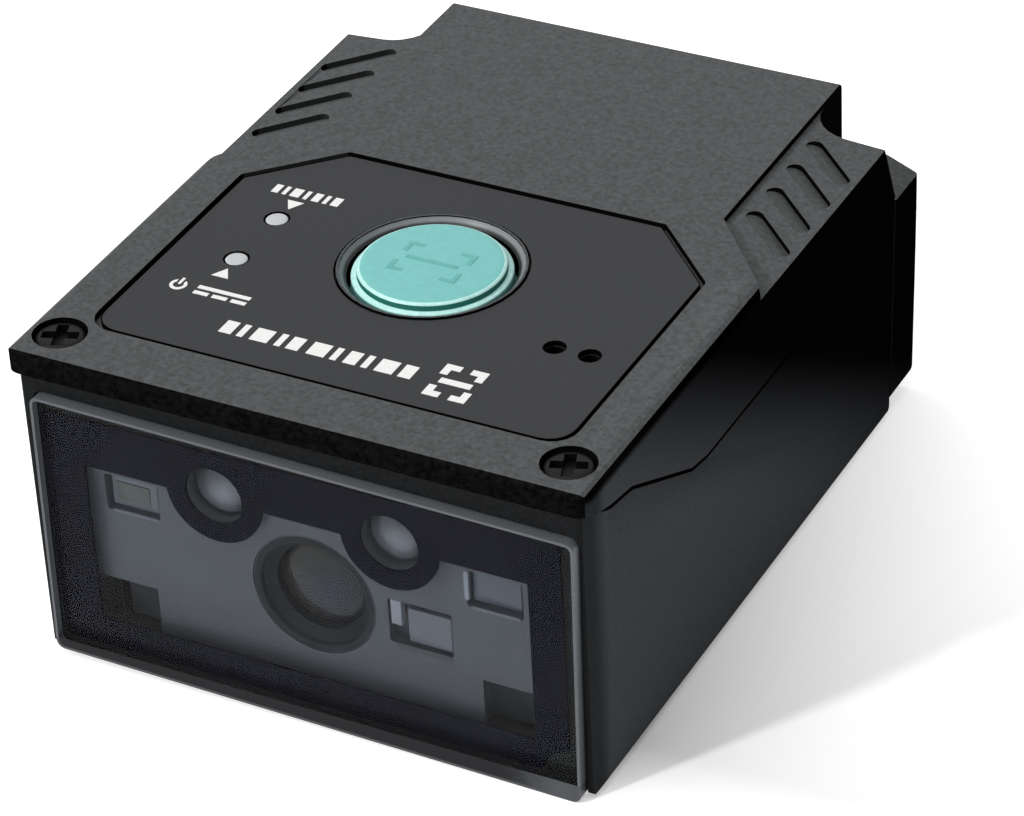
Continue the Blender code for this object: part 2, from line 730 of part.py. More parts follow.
def trigger_button():
    """A cap with a raised face and a flange that is held under the cover."""
    top = COVER_TOP + BUTTON_RISE
    rim = COVER_TOP - BUTTON_RIM_DROP
    flange_top = CEILING - SLIDE_GAP
    flange_low = flange_top - BUTTON_FLANGE_THICKNESS
    outer = BUTTON_RADIUS + BUTTON_FLANGE
    face = BUTTON_FACE_RADIUS
    hub = PLUNGER_RADIUS + 0.0003
    inner = BUTTON_RADIUS - BUTTON_WALL
    roof = rim - BUTTON_WALL
    profile = [(0, flange_low), (hub, flange_low), (hub, roof), (inner, roof), (inner, flange_low),
               (outer, flange_low), (outer, flange_top), (BUTTON_RADIUS, flange_top),
               (BUTTON_RADIUS, rim - BUTTON_EDGE * 0.5), (BUTTON_RADIUS - BUTTON_EDGE * 0.5, rim),
               (face, rim), (face, top - BUTTON_EDGE), (face - BUTTON_EDGE * 0.3, top - BUTTON_EDGE * 0.3),
               (face - BUTTON_EDGE, top), (0, top)]
    profile = [(radius, height - rim) for radius, height in profile]
    button = turned("trigger_button", profile, looks=button_rubber(), count=FINE)
    button.location = (0, BUTTON_Y, rim)
    return button


def tact_switch():
    """The switch body, and the plunger that slides in it under the button."""
    low = BOARD_TOP + TRIM_GAP / 2
    high = low + SWITCH_RIM
    half = SWITCH_SIDE / 2
    body = block("tact_switch", -half, half, BUTTON_Y - half, BUTTON_Y + half, low, high, black_part())
    bore = circle(0, BUTTON_Y, PLUNGER_RADIUS + TRIM_GAP, ROUND)
    cut(body, prism("switch_bore", bore, "Z", low + SWITCH_FLOOR, high + PAST))
    top = CEILING - SLIDE_GAP - BUTTON_FLANGE_THICKNESS - TRIM_GAP / 2
    base = low + SWITCH_FLOOR + BUTTON_TRAVEL + TRIM_GAP
    height = top - base
    profile = [(0, 0), (PLUNGER_RADIUS, 0), (PLUNGER_RADIUS, height), (0, height)]
    plunger = turned("switch_plunger", profile, looks=black_part(), count=ROUND)
    plunger.location = (0, BUTTON_Y, base)


def indicators():
    """A light pipe for each indicator, over its lamp on the board."""
    lamp_low = BOARD_TOP + TRIM_GAP / 2
    pipe_low = lamp_low + LED_HEIGHT + TRIM_GAP
    pipe_top = OVERLAY_BASE + TRIM_GAP / 2 + OVERLAY_THICKNESS
    shoulder = CEILING - TRIM_GAP - pipe_low
    wide = PIPE_RADIUS + PIPE_SHOULDER
    profile = [(0, 0), (PIPE_RADIUS, 0), (PIPE_RADIUS, shoulder - PIPE_SHOULDER_HEIGHT),
               (wide, shoulder - PIPE_SHOULDER_HEIGHT), (wide, shoulder), (PIPE_RADIUS, shoulder),
               (PIPE_RADIUS, pipe_top - pipe_low), (0, pipe_top - pipe_low)]
    half = LED_SIDE / 2
    for name, y in (("status", STATUS_Y), ("power", POWER_Y)):
        pipe = turned(f"light_pipe_{name}", profile, looks=clear_plastic(), count=SMALL)
        pipe.location = (-PIPE_X, y, pipe_low)
        lamp = block(f"lamp_{name}", -half, half, -half, half, 0, LED_HEIGHT, lamp_white())
        lamp.location = (-PIPE_X, y, lamp_low)


def buzzer():
    low = BOARD_TOP + TRIM_GAP / 2
    half = BUZZER_SIDE / 2
    x, y = BUZZER_X, BUZZER_Y
    body = prism("buzzer", rectangle(x - half, y - half, x + half, y + half, 0.0004), "Z", low,
                 low + BUZZER_HEIGHT, black_part())
    port = circle(x, y, BUZZER_HOLE_RADIUS, SMALL)
    cut(body, prism("buzzer_port", port, "Z", low + BUZZER_HEIGHT * 0.5, low + BUZZER_HEIGHT + PAST))


def screw_shape(name, radius, height, shank, length, looks, drive=0.55):
    """A pan-head screw with a cross recess, its seat at the local origin, pointing down."""
    edge = height * 0.35
    profile = [(0, -length), (shank * 0.7, -length), (shank, -length + shank * 0.5), (shank, 0),
               (radius, 0), (radius, height - edge), (radius - edge * 0.3, height - edge * 0.35),
               (radius - edge, height), (0, height)]
    screw = turned(name, profile, looks=looks, count=SCREW_SIDES)
    reach, half = radius * drive * 1.15, radius * 0.16
    depth = height * 0.5
    arms = [(half, -reach), (half, -half), (reach, -half), (reach, half), (half, half),
            (half, reach), (-half, reach), (-half, half), (-reach, half), (-reach, -half),
            (-half, -half), (-half, -reach)]
    cross = prism(f"{name}_cross", arms, "Z", height - depth, height + PAST)
    cross.parent = screw
    cut(screw, cross)
    return screw


def cover_screws():
    seat = COVER_TOP - SCREW_HEAD_DROP - SCREW_HEAD_HEIGHT + TRIM_GAP / 2
    for name, hand, turn in (("left", -1, 0.35), ("right", 1, 0.2)):
        screw = screw_shape(f"cover_screw_{name}", SCREW_HEAD_RADIUS, SCREW_HEAD_HEIGHT,
                            SCREW_SHANK_RADIUS, SCREW_LENGTH, black_metal())
        screw.location = (hand * SCREW_X, SCREW_Y, seat)
        screw.rotation_euler.z = turn


def main_board():
    board = prism("main_board", rectangle(-BOARD_HALF, BOARD_FRONT, BOARD_HALF, BOARD_BACK, 0.0008),
                  "Z", BOARD_BOTTOM, BOARD_TOP, board_green())
    for k, (x, y) in enumerate(board_posts()):
        hole = circle(x, y, BOARD_SCREW_RADIUS + SCREW_GAP, SMALL)
        cut(board, prism(f"board_hole_{k}", hole, "Z", BOARD_BOTTOM - PAST, BOARD_TOP + PAST))
    names = ("front_left", "front_right", "rear_left", "rear_right")
    for name, (x, y) in zip(names, board_posts()):
        screw = screw_shape(f"board_screw_{name}", BOARD_SCREW_HEAD, BOARD_SCREW_HEAD_HEIGHT,
                            BOARD_SCREW_RADIUS, BOARD_SCREW_LENGTH, steel())
        screw.location = (x, y, BOARD_BOTTOM - TRIM_GAP / 2)
        screw.rotation_euler.x = math.pi
    back = BACK - SOCKET_FROM_BACK
    half = SOCKET_WIDTH / 2
    top = BOARD_BOTTOM - TRIM_GAP / 2
    socket = block("cable_socket", -half, half, back - SOCKET_DEPTH, back, top - SOCKET_HEIGHT, top,
                   lamp_white())
    inset = 0.0007
    cut(socket, block("socket_mouth", inset - half, half - inset, back - SOCKET_DEPTH * 0.6,
                      back + PAST, top - SOCKET_HEIGHT + inset, top - inset))


def lower_housing():
    low = HALF - HOUSING_DRAFT
    radius = HOUSING_EDGE_RADIUS
    section = rounded([(-low, 0, radius), (low, 0, radius), (HALF, HOUSING_DRAFT_HEIGHT, 0),
                       (HALF, COVER_TOP, 0), (-HALF, COVER_TOP, 0),
                       (-HALF, HOUSING_DRAFT_HEIGHT, 0)], 4)
    housing = prism("lower_housing", section, "Y", FRONT - PAST, HOUSING_BACK + PAST,
                    housing_plastic())
    side = under_seam_outline(SEAM_GAP / 2, 0, HOUSING_BACK, radius)
    bend = CORNER_ROUNDING
    edge = [(-HALF, HOUSING_FRONT + CORNER_DEPTH, bend), (CORNER_WIDTH - HALF, HOUSING_FRONT, bend),
            (HALF - CORNER_WIDTH, HOUSING_FRONT, bend), (HALF, HOUSING_FRONT + CORNER_DEPTH, bend),
            (HALF, BACK, 0), (-HALF, BACK, 0)]
    keep(housing, prism("housing_side", side, "X", -HALF - PAST, HALF + PAST),
         prism("housing_plan", rounded(edge, 3), "Z", -PAST, COVER_TOP))
    top = CEILING - SEAM_GAP
    tongue_front = FRONT + SKIRT_WALL + SEAM_GAP
    tongue_back = CHEEK_WALL_FRONT - SEAM_GAP
    floor = HOUSING_FLOOR - FLOOR_BITE
    raised = under_seam_outline(SEAM_GAP / 2 - TONGUE_HEIGHT, floor, HOUSING_BACK, 0)
    tongue = block("tongue", -TONGUE_SIDE, TONGUE_SIDE, tongue_front, tongue_back, floor, top)
    keep(tongue, prism("tongue_side", raised, "X", -HALF, HALF))
    join(housing, tongue)
    inner_front = SEAT_Y + HOUSING_FRONT_WALL
    cut(housing, block("housing_cavity", -CAVITY_SIDE, CAVITY_SIDE, inner_front, BACK,
                       HOUSING_FLOOR, COVER_TOP + PAST))
    bounds = block("boss_bounds", -TONGUE_SIDE, TONGUE_SIDE, tongue_front, BACK, floor, top)
    for hand in (-1, 1):
        boss = prism(f"screw_boss_{hand}", circle(hand * SCREW_X, SCREW_Y, SCREW_BOSS_RADIUS), "Z",
                     0, COVER_TOP)
        keep(boss, bounds)
        join(housing, boss)
    seat = ENGINE_BOTTOM - TRIM_GAP
    aperture_side = ENGINE_HALF + SEAM_GAP
    cut(housing, block("aperture", -aperture_side, aperture_side, FRONT - PAST,
                       ENGINE_FRONT + ENGINE_FLANGE + SEAM_GAP, seat, ENGINE_TOP + TRIM_GAP))
    cut(housing, window_shape("window_recess", WINDOW_GAP, FRONT - PAST, SEAT_Y))
    for hand in (-1, 1):
        x = hand * EAR_X
        join(housing, prism(f"ear_boss_{hand}", circle(x, EAR_Y, EAR_WIDTH / 2), "Z", floor, seat))
        bore = BOARD_SCREW_RADIUS + TRIM_GAP
        cut(housing, prism(f"ear_bore_{hand}", circle(x, EAR_Y, bore, SMALL), "Z", BORE_FLOOR,
                           seat + PAST))
        rail = hand * ENGINE_BODY_HALF * 0.6
        join(housing, block(f"rail_{hand}", rail - RAIL_HALF, rail + RAIL_HALF,
                            inner_front - FLOOR_BITE, ENGINE_BACK - RAIL_HALF, floor, seat))
        hole = circle(hand * SCREW_X, SCREW_Y, SCREW_SHANK_RADIUS + TRIM_GAP, SMALL)
        cut(housing, prism(f"shank_bore_{hand}", hole, "Z", COVER_TOP - SCREW_LENGTH - PAST * 3,
                           COVER_TOP + PAST))
        x = hand * PANEL_SCREW_X
        length = PANEL_SCREW_LENGTH
        boss_front = BACK - GLAND_DISH - length
        boss = prism(f"panel_boss_{hand}", circle(x, PANEL_SCREW_HEIGHT, PANEL_POST_RADIUS), "Y",
                     boss_front, PANEL_FRONT - PLUG_LENGTH - TRIM_GAP)
        rib = block(f"panel_rib_{hand}", x - 0.0006, x + 0.0006, boss_front,
                    PANEL_FRONT - PLUG_LENGTH - TRIM_GAP, floor, PANEL_SCREW_HEIGHT)
        join(housing, boss, rib)
        hole = circle(x, PANEL_SCREW_HEIGHT, PANEL_SCREW_RADIUS + TRIM_GAP, SMALL)
        cut(housing, prism(f"panel_bore_{hand}", hole, "Y", boss_front + FLOOR_BITE, BACK))
        x = hand * INSERT_X
        y = BACK - INSERT_FROM_BACK
        top = INSERT_LENGTH + INSERT_DROP + INSERT_BOSS_WALL
        wide = INSERT_RADIUS + INSERT_BOSS_WALL
        join(housing, prism(f"insert_boss_{hand}", circle(x, y, wide), "Z", FLOOR_BITE, top))
        hole = circle(x, y, INSERT_RADIUS + TRIM_GAP)
        cut(housing, prism(f"insert_bore_{hand}", hole, "Z", -PAST,
                           INSERT_LENGTH + INSERT_DROP + TRIM_GAP))
    return housing


def window_shape(name, grow, y0, y1, looks=None):
    """The scan window's outline, turned a little about the viewing axis."""
    half_w, half_h = WINDOW_HALF + grow, WINDOW_HEIGHT / 2 + grow
    outline = rectangle(-half_w, -half_h, half_w, half_h, WINDOW_RADIUS + grow)
    plate = prism(name, outline, "Y", y0, y1, looks)
    plate.location = (WINDOW_SHIFT, 0, WINDOW_CENTRE)
    plate.rotation_euler.y = WINDOW_TURN
    return plate


def view_outline():
    """The clear opening of the mask: a rectangle with a round lobe below each lamp hole."""
    half, low, high = VIEW_HALF, VIEW_BOTTOM, VIEW_TOP
    lobe = LAMP_HOLE_RADIUS + LAMP_LOBE
    points = [(-half, low), (half, low), (half, high)]
    dip = LAMP_HEIGHT - high
    start = math.asin(dip / lobe)
    for centre in (LAMP_SPACING / 2, -LAMP_SPACING / 2):
        for step in range(15):
            at = -start - (math.pi - 2 * start) * step / 14
            points.append((centre + lobe * math.cos(at), LAMP_HEIGHT + lobe * math.sin(at)))
    points.append((-half, high))
    return points


def window_mask():
    back = MASK_FRONT + MASK_THICKNESS
    notch = MASK_NOTCH
    outline = rounded([(MASK_LEFT, MASK_BOTTOM, 0.0004), (MASK_RIGHT - notch, MASK_BOTTOM, 0.0002),
                       (MASK_RIGHT - notch * 0.7, MASK_BOTTOM + notch * 0.7, 0.001),
                       (MASK_RIGHT, MASK_BOTTOM + notch, 0.0002),
                       (MASK_RIGHT, MASK_TOP, 0.0004), (MASK_LEFT, MASK_TOP, 0.0004)], 3)
    mask = prism("window_mask", outline, "Y", MASK_FRONT, back, mask_ink())
    cut(mask, prism("mask_view", view_outline(), "Y", MASK_FRONT - PAST, back + PAST))
    for hand in (-1, 1):
        hole = circle(hand * LAMP_SPACING / 2, LAMP_HEIGHT, LAMP_HOLE_RADIUS)
        cut(mask, prism(f"mask_lamp_{hand}", hole, "Y", MASK_FRONT - PAST, back + PAST))


def engine_frame():
    """The engine's moulded front: flange, lens tube, lamp holes, pockets and feet."""
    half, body = ENGINE_HALF, ENGINE_BODY_HALF
    frame = prism("engine_frame", rectangle(-body, ENGINE_BOTTOM, body, ENGINE_TOP), "Y",
                  ENGINE_FRONT + ENGINE_FLANGE * 0.5, ENGINE_BACK, engine_plastic())
    flange = prism("engine_flange", rectangle(-half, ENGINE_BOTTOM, half, ENGINE_TOP, 0.0005), "Y",
                   ENGINE_FRONT, ENGINE_FRONT + ENGINE_FLANGE)
    join(frame, flange)
    wall = ENGINE_WALL
    cut(frame, prism("engine_cavity", rectangle(wall - body, ENGINE_BOTTOM + wall, body - wall,
                                                ENGINE_TOP - wall), "Y",
                     ENGINE_FRONT + ENGINE_FACE_WALL, ENGINE_BACK + PAST))
    tube = prism("lens_tube", circle(0, LENS_HEIGHT, BARREL_RADIUS + TUBE_WALL + BARREL_GAP, FINE), "Y",
                 ENGINE_FRONT + ENGINE_FACE_WALL - 0.0005, ENGINE_FRONT + BARREL_LENGTH)
    join(frame, tube)
    bore = circle(0, LENS_HEIGHT, BARREL_RADIUS + BARREL_GAP, FINE)
    cut(frame, prism("lens_bore", bore, "Y", ENGINE_FRONT - PAST, ENGINE_BACK + PAST))
    for hand in (-1, 1):
        lamp = circle(hand * LAMP_SPACING / 2, LAMP_HEIGHT, LAMP_HOLE_RADIUS + TRIM_GAP)
        cut(frame, prism(f"lamp_bore_{hand}", lamp, "Y", ENGINE_FRONT - PAST,
                         ENGINE_FRONT + ENGINE_FACE_WALL + 0.0001))
        x = hand * FLOOD_X
        w, h = FLOOD_WIDTH / 2, FLOOD_HEIGHT / 2
        cut(frame, prism(f"flood_pocket_{hand}",
                         rectangle(x - w, FLOOD_CENTRE - h, x + w, FLOOD_CENTRE + h, 0.0002), "Y",
                         ENGINE_FRONT - PAST, ENGINE_FRONT + FLOOD_DEPTH))
        x0, x1 = hand * (half - FOOT_WIDTH), hand * (half + PAST)
        cut(frame, prism(f"foot_notch_{hand}",
                         rectangle(min(x0, x1), ENGINE_BOTTOM - PAST, max(x0, x1),
                                   ENGINE_BOTTOM + FOOT_HEIGHT), "Y",
                         ENGINE_FRONT - PAST, ENGINE_FRONT + FOOT_DEPTH))
        x = hand * EAR_X
        w = EAR_WIDTH / 2
        join(frame, block(f"ear_{hand}", x - w, x + w, ENGINE_BACK - 0.0008, EAR_Y + w,
                          ENGINE_BOTTOM, ENGINE_BOTTOM + EAR_THICKNESS))
        y = EAR_Y
        hole = circle(x, y, BOARD_SCREW_RADIUS + SCREW_GAP, SMALL)
        cut(frame, prism(f"ear_hole_{hand}", hole, "Z", ENGINE_BOTTOM - PAST,
                         ENGINE_BOTTOM + EAR_THICKNESS + PAST))
        screw = screw_shape(f"engine_screw_{'right' if hand > 0 else 'left'}", BOARD_SCREW_HEAD,
                            BOARD_SCREW_HEAD_HEIGHT, BOARD_SCREW_RADIUS,
                            ENGINE_BOTTOM + EAR_THICKNESS - 0.0006, steel())
        screw.location = (x, y, ENGINE_BOTTOM + EAR_THICKNESS + TRIM_GAP / 2)
    x, w, h = AIMER_FROM_LENS, AIMER_WIDTH / 2, AIMER_HEIGHT / 2
    cut(frame, prism("aimer_pocket", rectangle(x - w, AIMER_CENTRE - h, x + w, AIMER_CENTRE + h, 0.0002),
                     "Y", ENGINE_FRONT - PAST, ENGINE_FRONT + AIMER_DEPTH))
    return frame


def optics():
    """Barrel, lens, lamp lenses, flood lamps and aimer in the engine's face."""
    y = ENGINE_FRONT
    outer, inner = BARREL_RADIUS, LENS_RADIUS + BARREL_GAP
    mouth = BARREL_RADIUS - BARREL_WALL
    seat = y + LENS_SETBACK
    depth = LENS_EDGE + LENS_BULGE * 2
    end = y + BARREL_LENGTH
    profile = [(outer, y), (outer, end), (inner * 0.6, end), (inner * 0.6, seat + depth + PAST),
               (inner, seat + depth), (inner, seat), (mouth, y + 0.0003), (mouth, y)]
    turned("lens_barrel", profile, "Y", 0, LENS_HEIGHT, black_part(), FINE, 30)
    middle = seat + LENS_BULGE + LENS_EDGE / 2
    front = middle - LENS_EDGE / 2
    back = middle + LENS_EDGE / 2
    steps = 5
    bulge = [(LENS_RADIUS * math.sin(math.pi / 2 * k / steps),
              LENS_BULGE * math.cos(math.pi / 2 * k / steps)) for k in range(steps + 1)]
    lens = [(radius, front - rise) for radius, rise in bulge]
    lens += [(radius, back + rise) for radius, rise in reversed(bulge)]
    turned("lens", lens, "Y", 0, LENS_HEIGHT, clear_plastic(), FINE, 40)
    radius = LAMP_HOLE_RADIUS - TRIM_GAP
    dome = [(radius * math.sin(math.pi / 2 * k / 5), -0.0006 * math.cos(math.pi / 2 * k / 5))
            for k in range(6)]
    lamp_back = ENGINE_FACE_WALL - 0.0004
    for hand, name in ((-1, "left"), (1, "right")):
        x = hand * LAMP_SPACING / 2
        profile = [(r, y + 0.0004 + rise) for r, rise in dome]
        profile += [(radius, y + lamp_back), (0, y + lamp_back)]
        turned(f"lamp_lens_{name}", profile, "Y", x, LAMP_HEIGHT, clear_plastic())
        x = hand * FLOOD_X
        w, h = FLOOD_WIDTH / 2 - TRIM_GAP * 3, FLOOD_HEIGHT / 2 - TRIM_GAP * 3
        prism(f"flood_lamp_{name}", rectangle(x - w, FLOOD_CENTRE - h, x + w, FLOOD_CENTRE + h),
              "Y", y + FLOOD_DEPTH * 0.35, y + FLOOD_DEPTH - TRIM_GAP / 2, lamp_white())
    x, w, h = AIMER_FROM_LENS, AIMER_WIDTH / 2 - TRIM_GAP * 2, AIMER_HEIGHT / 2 - TRIM_GAP * 2
    prism("aimer_lens", rectangle(x - w, AIMER_CENTRE - h, x + w, AIMER_CENTRE + h), "Y",
          y + AIMER_DEPTH * 0.3, y + AIMER_DEPTH - TRIM_GAP / 2, clear_plastic())


def engine_board():
    half = ENGINE_BODY_HALF
    low = ENGINE_BOTTOM + EAR_THICKNESS + SEAM_GAP
    prism("engine_board", rectangle(-half, low, half, ENGINE_TOP, 0.0005), "Y", ENGINE_BOARD_FRONT,
          ENGINE_BOARD_BACK, board_green())
    w, h = SENSOR_WIDTH / 2, SENSOR_HEIGHT / 2
    front = ENGINE_BOARD_FRONT - TRIM_GAP / 2 - SENSOR_THICKNESS
    prism("image_sensor", rectangle(-w, LENS_HEIGHT - h, w, LENS_HEIGHT + h), "Y", front,
          ENGINE_BOARD_FRONT - TRIM_GAP / 2, black_part())


def flex_strip():
    """The flat strip from the engine board up to the underside of the main board."""
    thin = FLEX_THICKNESS
    y = ENGINE_BOARD_BACK + TRIM_GAP / 2
    top = BOARD_BOTTOM - TRIM_GAP / 2
    low = top - FLEX_DROP
    far = BOARD_FRONT + FLEX_LENGTH
    bend = FLEX_BEND
    outline = rounded([(y, low, 0), (y + thin, low, 0), (y + thin, top - thin, bend),
                       (far, top - thin, 0), (far, top, 0), (y, top, bend + thin)], 6)
    prism("flex_strip", outline, "X", -FLEX_WIDTH / 2, FLEX_WIDTH / 2, film(), 40)


def rear_panel():
    low = HALF - HOUSING_DRAFT
    radius = HOUSING_EDGE_RADIUS
    edge = PANEL_EDGE_RADIUS
    inner = MIDDLE_HALF + CHEEK_FILLET + SEAM_GAP
    high = PANEL_TOP + SHOULDER_RISE
    section = rounded([(-low, PANEL_BOTTOM, radius), (low, PANEL_BOTTOM, radius),
                       (HALF, PANEL_TOP, 0), (inner, high, 0), (inner, PANEL_TOP, 0),
                       (-inner, PANEL_TOP, 0), (-inner, high, 0), (-HALF, PANEL_TOP, 0)], 4)
    panel = prism("rear_panel", section, "Y", PANEL_FRONT, BACK + PAST, housing_plastic())
    side = rounded([(PANEL_FRONT, PANEL_BOTTOM - PAST, 0), (BACK, PANEL_BOTTOM - PAST, 0),
                    (BACK, high, edge), (PANEL_FRONT, high, 0)], 4)
    plan = rounded([(-HALF, PANEL_FRONT - PAST, 0), (HALF, PANEL_FRONT - PAST, 0),
                    (HALF, BACK, edge), (-HALF, BACK, edge)], 4)
    keep(panel, prism("panel_side", side, "X", -HALF - PAST, HALF + PAST),
         prism("panel_plan", plan, "Z", 0, COVER_TOP))
    plug = CAVITY_SIDE - SEAM_GAP
    front = PANEL_FRONT - PLUG_LENGTH
    join(panel, prism("plug", rectangle(-plug, PLUG_BOTTOM, plug, PLUG_TOP), "Y", front,
                      PANEL_FRONT + 0.0005))
    inner = plug - PLUG_WALL
    pocket_back = GLAND_Y - PANEL_WALL
    cut(panel, prism("panel_pocket", rectangle(-inner, PLUG_BOTTOM + PLUG_WALL, inner,
                                               PLUG_TOP - PLUG_WALL), "Y", front - PAST, pocket_back))
    dish = GLAND_RADIUS + GLAND_FLANGE + SEAM_GAP
    cut(panel, prism("gland_dish", circle(0, GLAND_HEIGHT, dish, FINE), "Y", GLAND_Y, BACK + PAST),
        prism("gland_hole", circle(0, GLAND_HEIGHT, GLAND_RADIUS + GLAND_GAP), "Y", front, BACK),
        prism("gland_room", circle(0, GLAND_HEIGHT, dish, FINE), "Y", front - PAST, pocket_back))
    seat = GLAND_Y
    for hand, name in ((-1, "left"), (1, "right")):
        x = hand * PANEL_SCREW_X
        join(panel, prism(f"panel_post_{hand}", circle(x, PANEL_SCREW_HEIGHT, PANEL_POST_RADIUS), "Y",
                          front, seat))
        sink = circle(x, PANEL_SCREW_HEIGHT, PANEL_SCREW_HEAD + SCREW_GAP)
        cut(panel, prism(f"panel_sink_{hand}", sink, "Y", seat, BACK + PAST))
        hole = circle(x, PANEL_SCREW_HEIGHT, PANEL_SCREW_RADIUS + SCREW_GAP, SMALL)
        cut(panel, prism(f"panel_hole_{hand}", hole, "Y", front - PAST, BACK))
        screw = screw_shape(f"panel_screw_{name}", PANEL_SCREW_HEAD, PANEL_SCREW_HEAD_HEIGHT,
                            PANEL_SCREW_RADIUS, PANEL_SCREW_LENGTH - PAST, black_metal())
        screw.location = (x, seat + TRIM_GAP / 2, PANEL_SCREW_HEIGHT)
        screw.rotation_euler.x = -math.pi / 2


def cable_gland():
    """A rubber ring with a flange on each side of the rear panel's wall."""
    inner = GLAND_Y - PANEL_WALL - GLAND_GAP
    outer = GLAND_Y + GLAND_GAP
    wide = GLAND_RADIUS + GLAND_FLANGE
    thick = GLAND_FLANGE_THICKNESS
    profile = [(GLAND_BORE, inner - thick), (wide * 0.94, inner - thick), (wide * 0.94, inner),
               (GLAND_RADIUS, inner), (GLAND_RADIUS, outer), (wide, outer),
               (wide, outer + thick - 0.0003), (wide - 0.0003, outer + thick),
               (GLAND_BORE + 0.0004, outer + thick), (GLAND_BORE, outer + thick - 0.0004)]
    turned("cable_gland", profile, "Y", 0, GLAND_HEIGHT, rubber(), ROUND)


def threaded_inserts():
    y = BACK - INSERT_FROM_BACK
    chamfer = 0.0002
    for hand, name in ((-1, "left"), (1, "right")):
        profile = [(INSERT_BORE, 0), (INSERT_RADIUS, 0), (INSERT_RADIUS, INSERT_LENGTH - chamfer),
                   (INSERT_RADIUS - chamfer, INSERT_LENGTH), (INSERT_BORE, INSERT_LENGTH)]
        insert = turned(f"thread_insert_{name}", profile, looks=brass())
        insert.location = (hand * INSERT_X, y, INSERT_DROP)


def main():
    clear_scene()
    top_cover()
    top_overlay()
    trigger_button()
    tact_switch()
    indicators()
    buzzer()
    cover_screws()
    main_board()
    lower_housing()
    window_shape("scan_window", 0, FRONT, FRONT + WINDOW_THICKNESS, clear_plastic())
    window_mask()
    engine_frame()
    optics()
    engine_board()
    flex_strip()
    rear_panel()
    cable_gland()
    threaded_inserts()


main()
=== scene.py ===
"""Looks of a compact fixed-mount barcode reader: grained black mouldings, a film overlay
with white prints, a teal trigger button and a clear window in front of the scan engine."""
import math

import bpy
from bpy.props import FloatProperty, FloatVectorProperty, IntProperty, PointerProperty
from mathutils import Matrix, Vector


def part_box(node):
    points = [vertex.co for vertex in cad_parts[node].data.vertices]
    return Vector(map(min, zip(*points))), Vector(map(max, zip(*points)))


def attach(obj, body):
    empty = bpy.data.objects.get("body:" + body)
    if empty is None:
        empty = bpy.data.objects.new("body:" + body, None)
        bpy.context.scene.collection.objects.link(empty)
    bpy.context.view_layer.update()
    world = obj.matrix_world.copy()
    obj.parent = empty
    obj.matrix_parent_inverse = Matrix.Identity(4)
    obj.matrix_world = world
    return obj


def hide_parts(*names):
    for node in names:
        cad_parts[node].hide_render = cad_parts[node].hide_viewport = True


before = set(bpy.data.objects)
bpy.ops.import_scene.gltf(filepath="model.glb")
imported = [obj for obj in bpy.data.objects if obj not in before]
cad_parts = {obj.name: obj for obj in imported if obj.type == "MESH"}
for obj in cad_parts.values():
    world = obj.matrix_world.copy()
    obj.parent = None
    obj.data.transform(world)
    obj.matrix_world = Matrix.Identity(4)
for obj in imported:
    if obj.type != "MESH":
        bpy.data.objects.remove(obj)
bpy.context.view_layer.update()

bl_info = {
    "name": "Fixed Barcode Reader",
    "version": (1, 0, 0),
    "blender": (4, 5, 0),
    "location": "3D View > Sidebar > Reader",
    "description": "Models and finishes a compact fixed-mount barcode reader",
    "category": "Add Mesh",
}

MM = 0.001
READER = "reader"
BUTTON = "button"
PAIR = ("left", "right")

# The cover's outer skin is within these distances of its box
COVER_LOW, COVER_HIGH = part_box("top_cover")
SKIN_X = 0.45 * MM
SKIN_Y = 0.5 * MM

# Each lamp's name, the way its light comes from, its height and the width of its disc in degrees,
# and the light that it lays on a level floor
LAMPS = (("key_softbox", (-0.60, -0.50), 75, 60, 0.48),
         ("front_lamp", (-0.53, -0.85), 35, 4, 0.32))
ROOM_LIGHT = 0.33
SEEN_WHITE = 1.0

# The camera, fitted to the straight edges of the object in the photograph
CAMERA_PLACE = (0.1210, -0.2155, 0.1766)
CAMERA_AZIMUTH, CAMERA_ELEVATION, CAMERA_ROLL = 28.92, 34.18, -3.15
FOCAL_LENGTH_PX = 4395
FRAME_WIDTH_PX = 1024
SENSOR_WIDTH = 36.0

# The shade on the right side: it sinks along this slope, in units per metre of y and z
SHADE_SLOPE = (0, 7.8 / MM, 12.4 / MM)
SHADE_STARTS, SHADE_ENDS, SHADE_DEEPEST = 80, 243, 0.02

# Sockets of a Mix node that is set to colours
COLOUR_A, COLOUR_B, COLOUR_OUT = 6, 7, 2


def linear(code):
    """A hex sRGB colour as linear red, green and blue."""
    channels = [int(code[k:k + 2], 16) / 255 for k in (1, 3, 5)]
    return tuple(c / 12.92 if c <= 0.04045 else ((c + 0.055) / 1.055) ** 2.4 for c in channels)


def low(node):
    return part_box(node)[0]


def high(node):
    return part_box(node)[1]


def middle(node):
    a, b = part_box(node)
    return (a + b) / 2


# Selection and mesh tools


def start():
    """Leaves edit mode with nothing selected."""
    if bpy.context.mode != "OBJECT":
        bpy.ops.object.mode_set(mode="OBJECT")
    bpy.ops.object.select_all(action="DESELECT")


def pick(*pieces):
    start()
    for piece in pieces:
        piece.select_set(True)
    bpy.context.view_layer.objects.active = pieces[0]
    return pieces[0]


def edit(piece):
    pick(piece)
    bpy.ops.object.mode_set(mode="EDIT")
    bpy.ops.mesh.select_all(action="DESELECT")


def choose(piece, kind, test):
    """Selects the faces or edges of an edited piece for which test is true."""
    mode = {"faces": (False, False, True), "edges": (False, True, False)}[kind]
    bpy.context.tool_settings.mesh_select_mode = mode
    bpy.ops.mesh.select_all(action="DESELECT")
    bpy.ops.object.mode_set(mode="OBJECT")
    for part in piece.data.polygons if kind == "faces" else piece.data.edges:
        part.select = test(part)
    bpy.ops.object.mode_set(mode="EDIT")


def settle(piece, name):
    """Puts the piece's place into its mesh and names it."""
    pick(piece)
    bpy.ops.object.transform_apply(location=True, rotation=True, scale=True)
    piece.name = name
    piece.data.name = name
    return piece


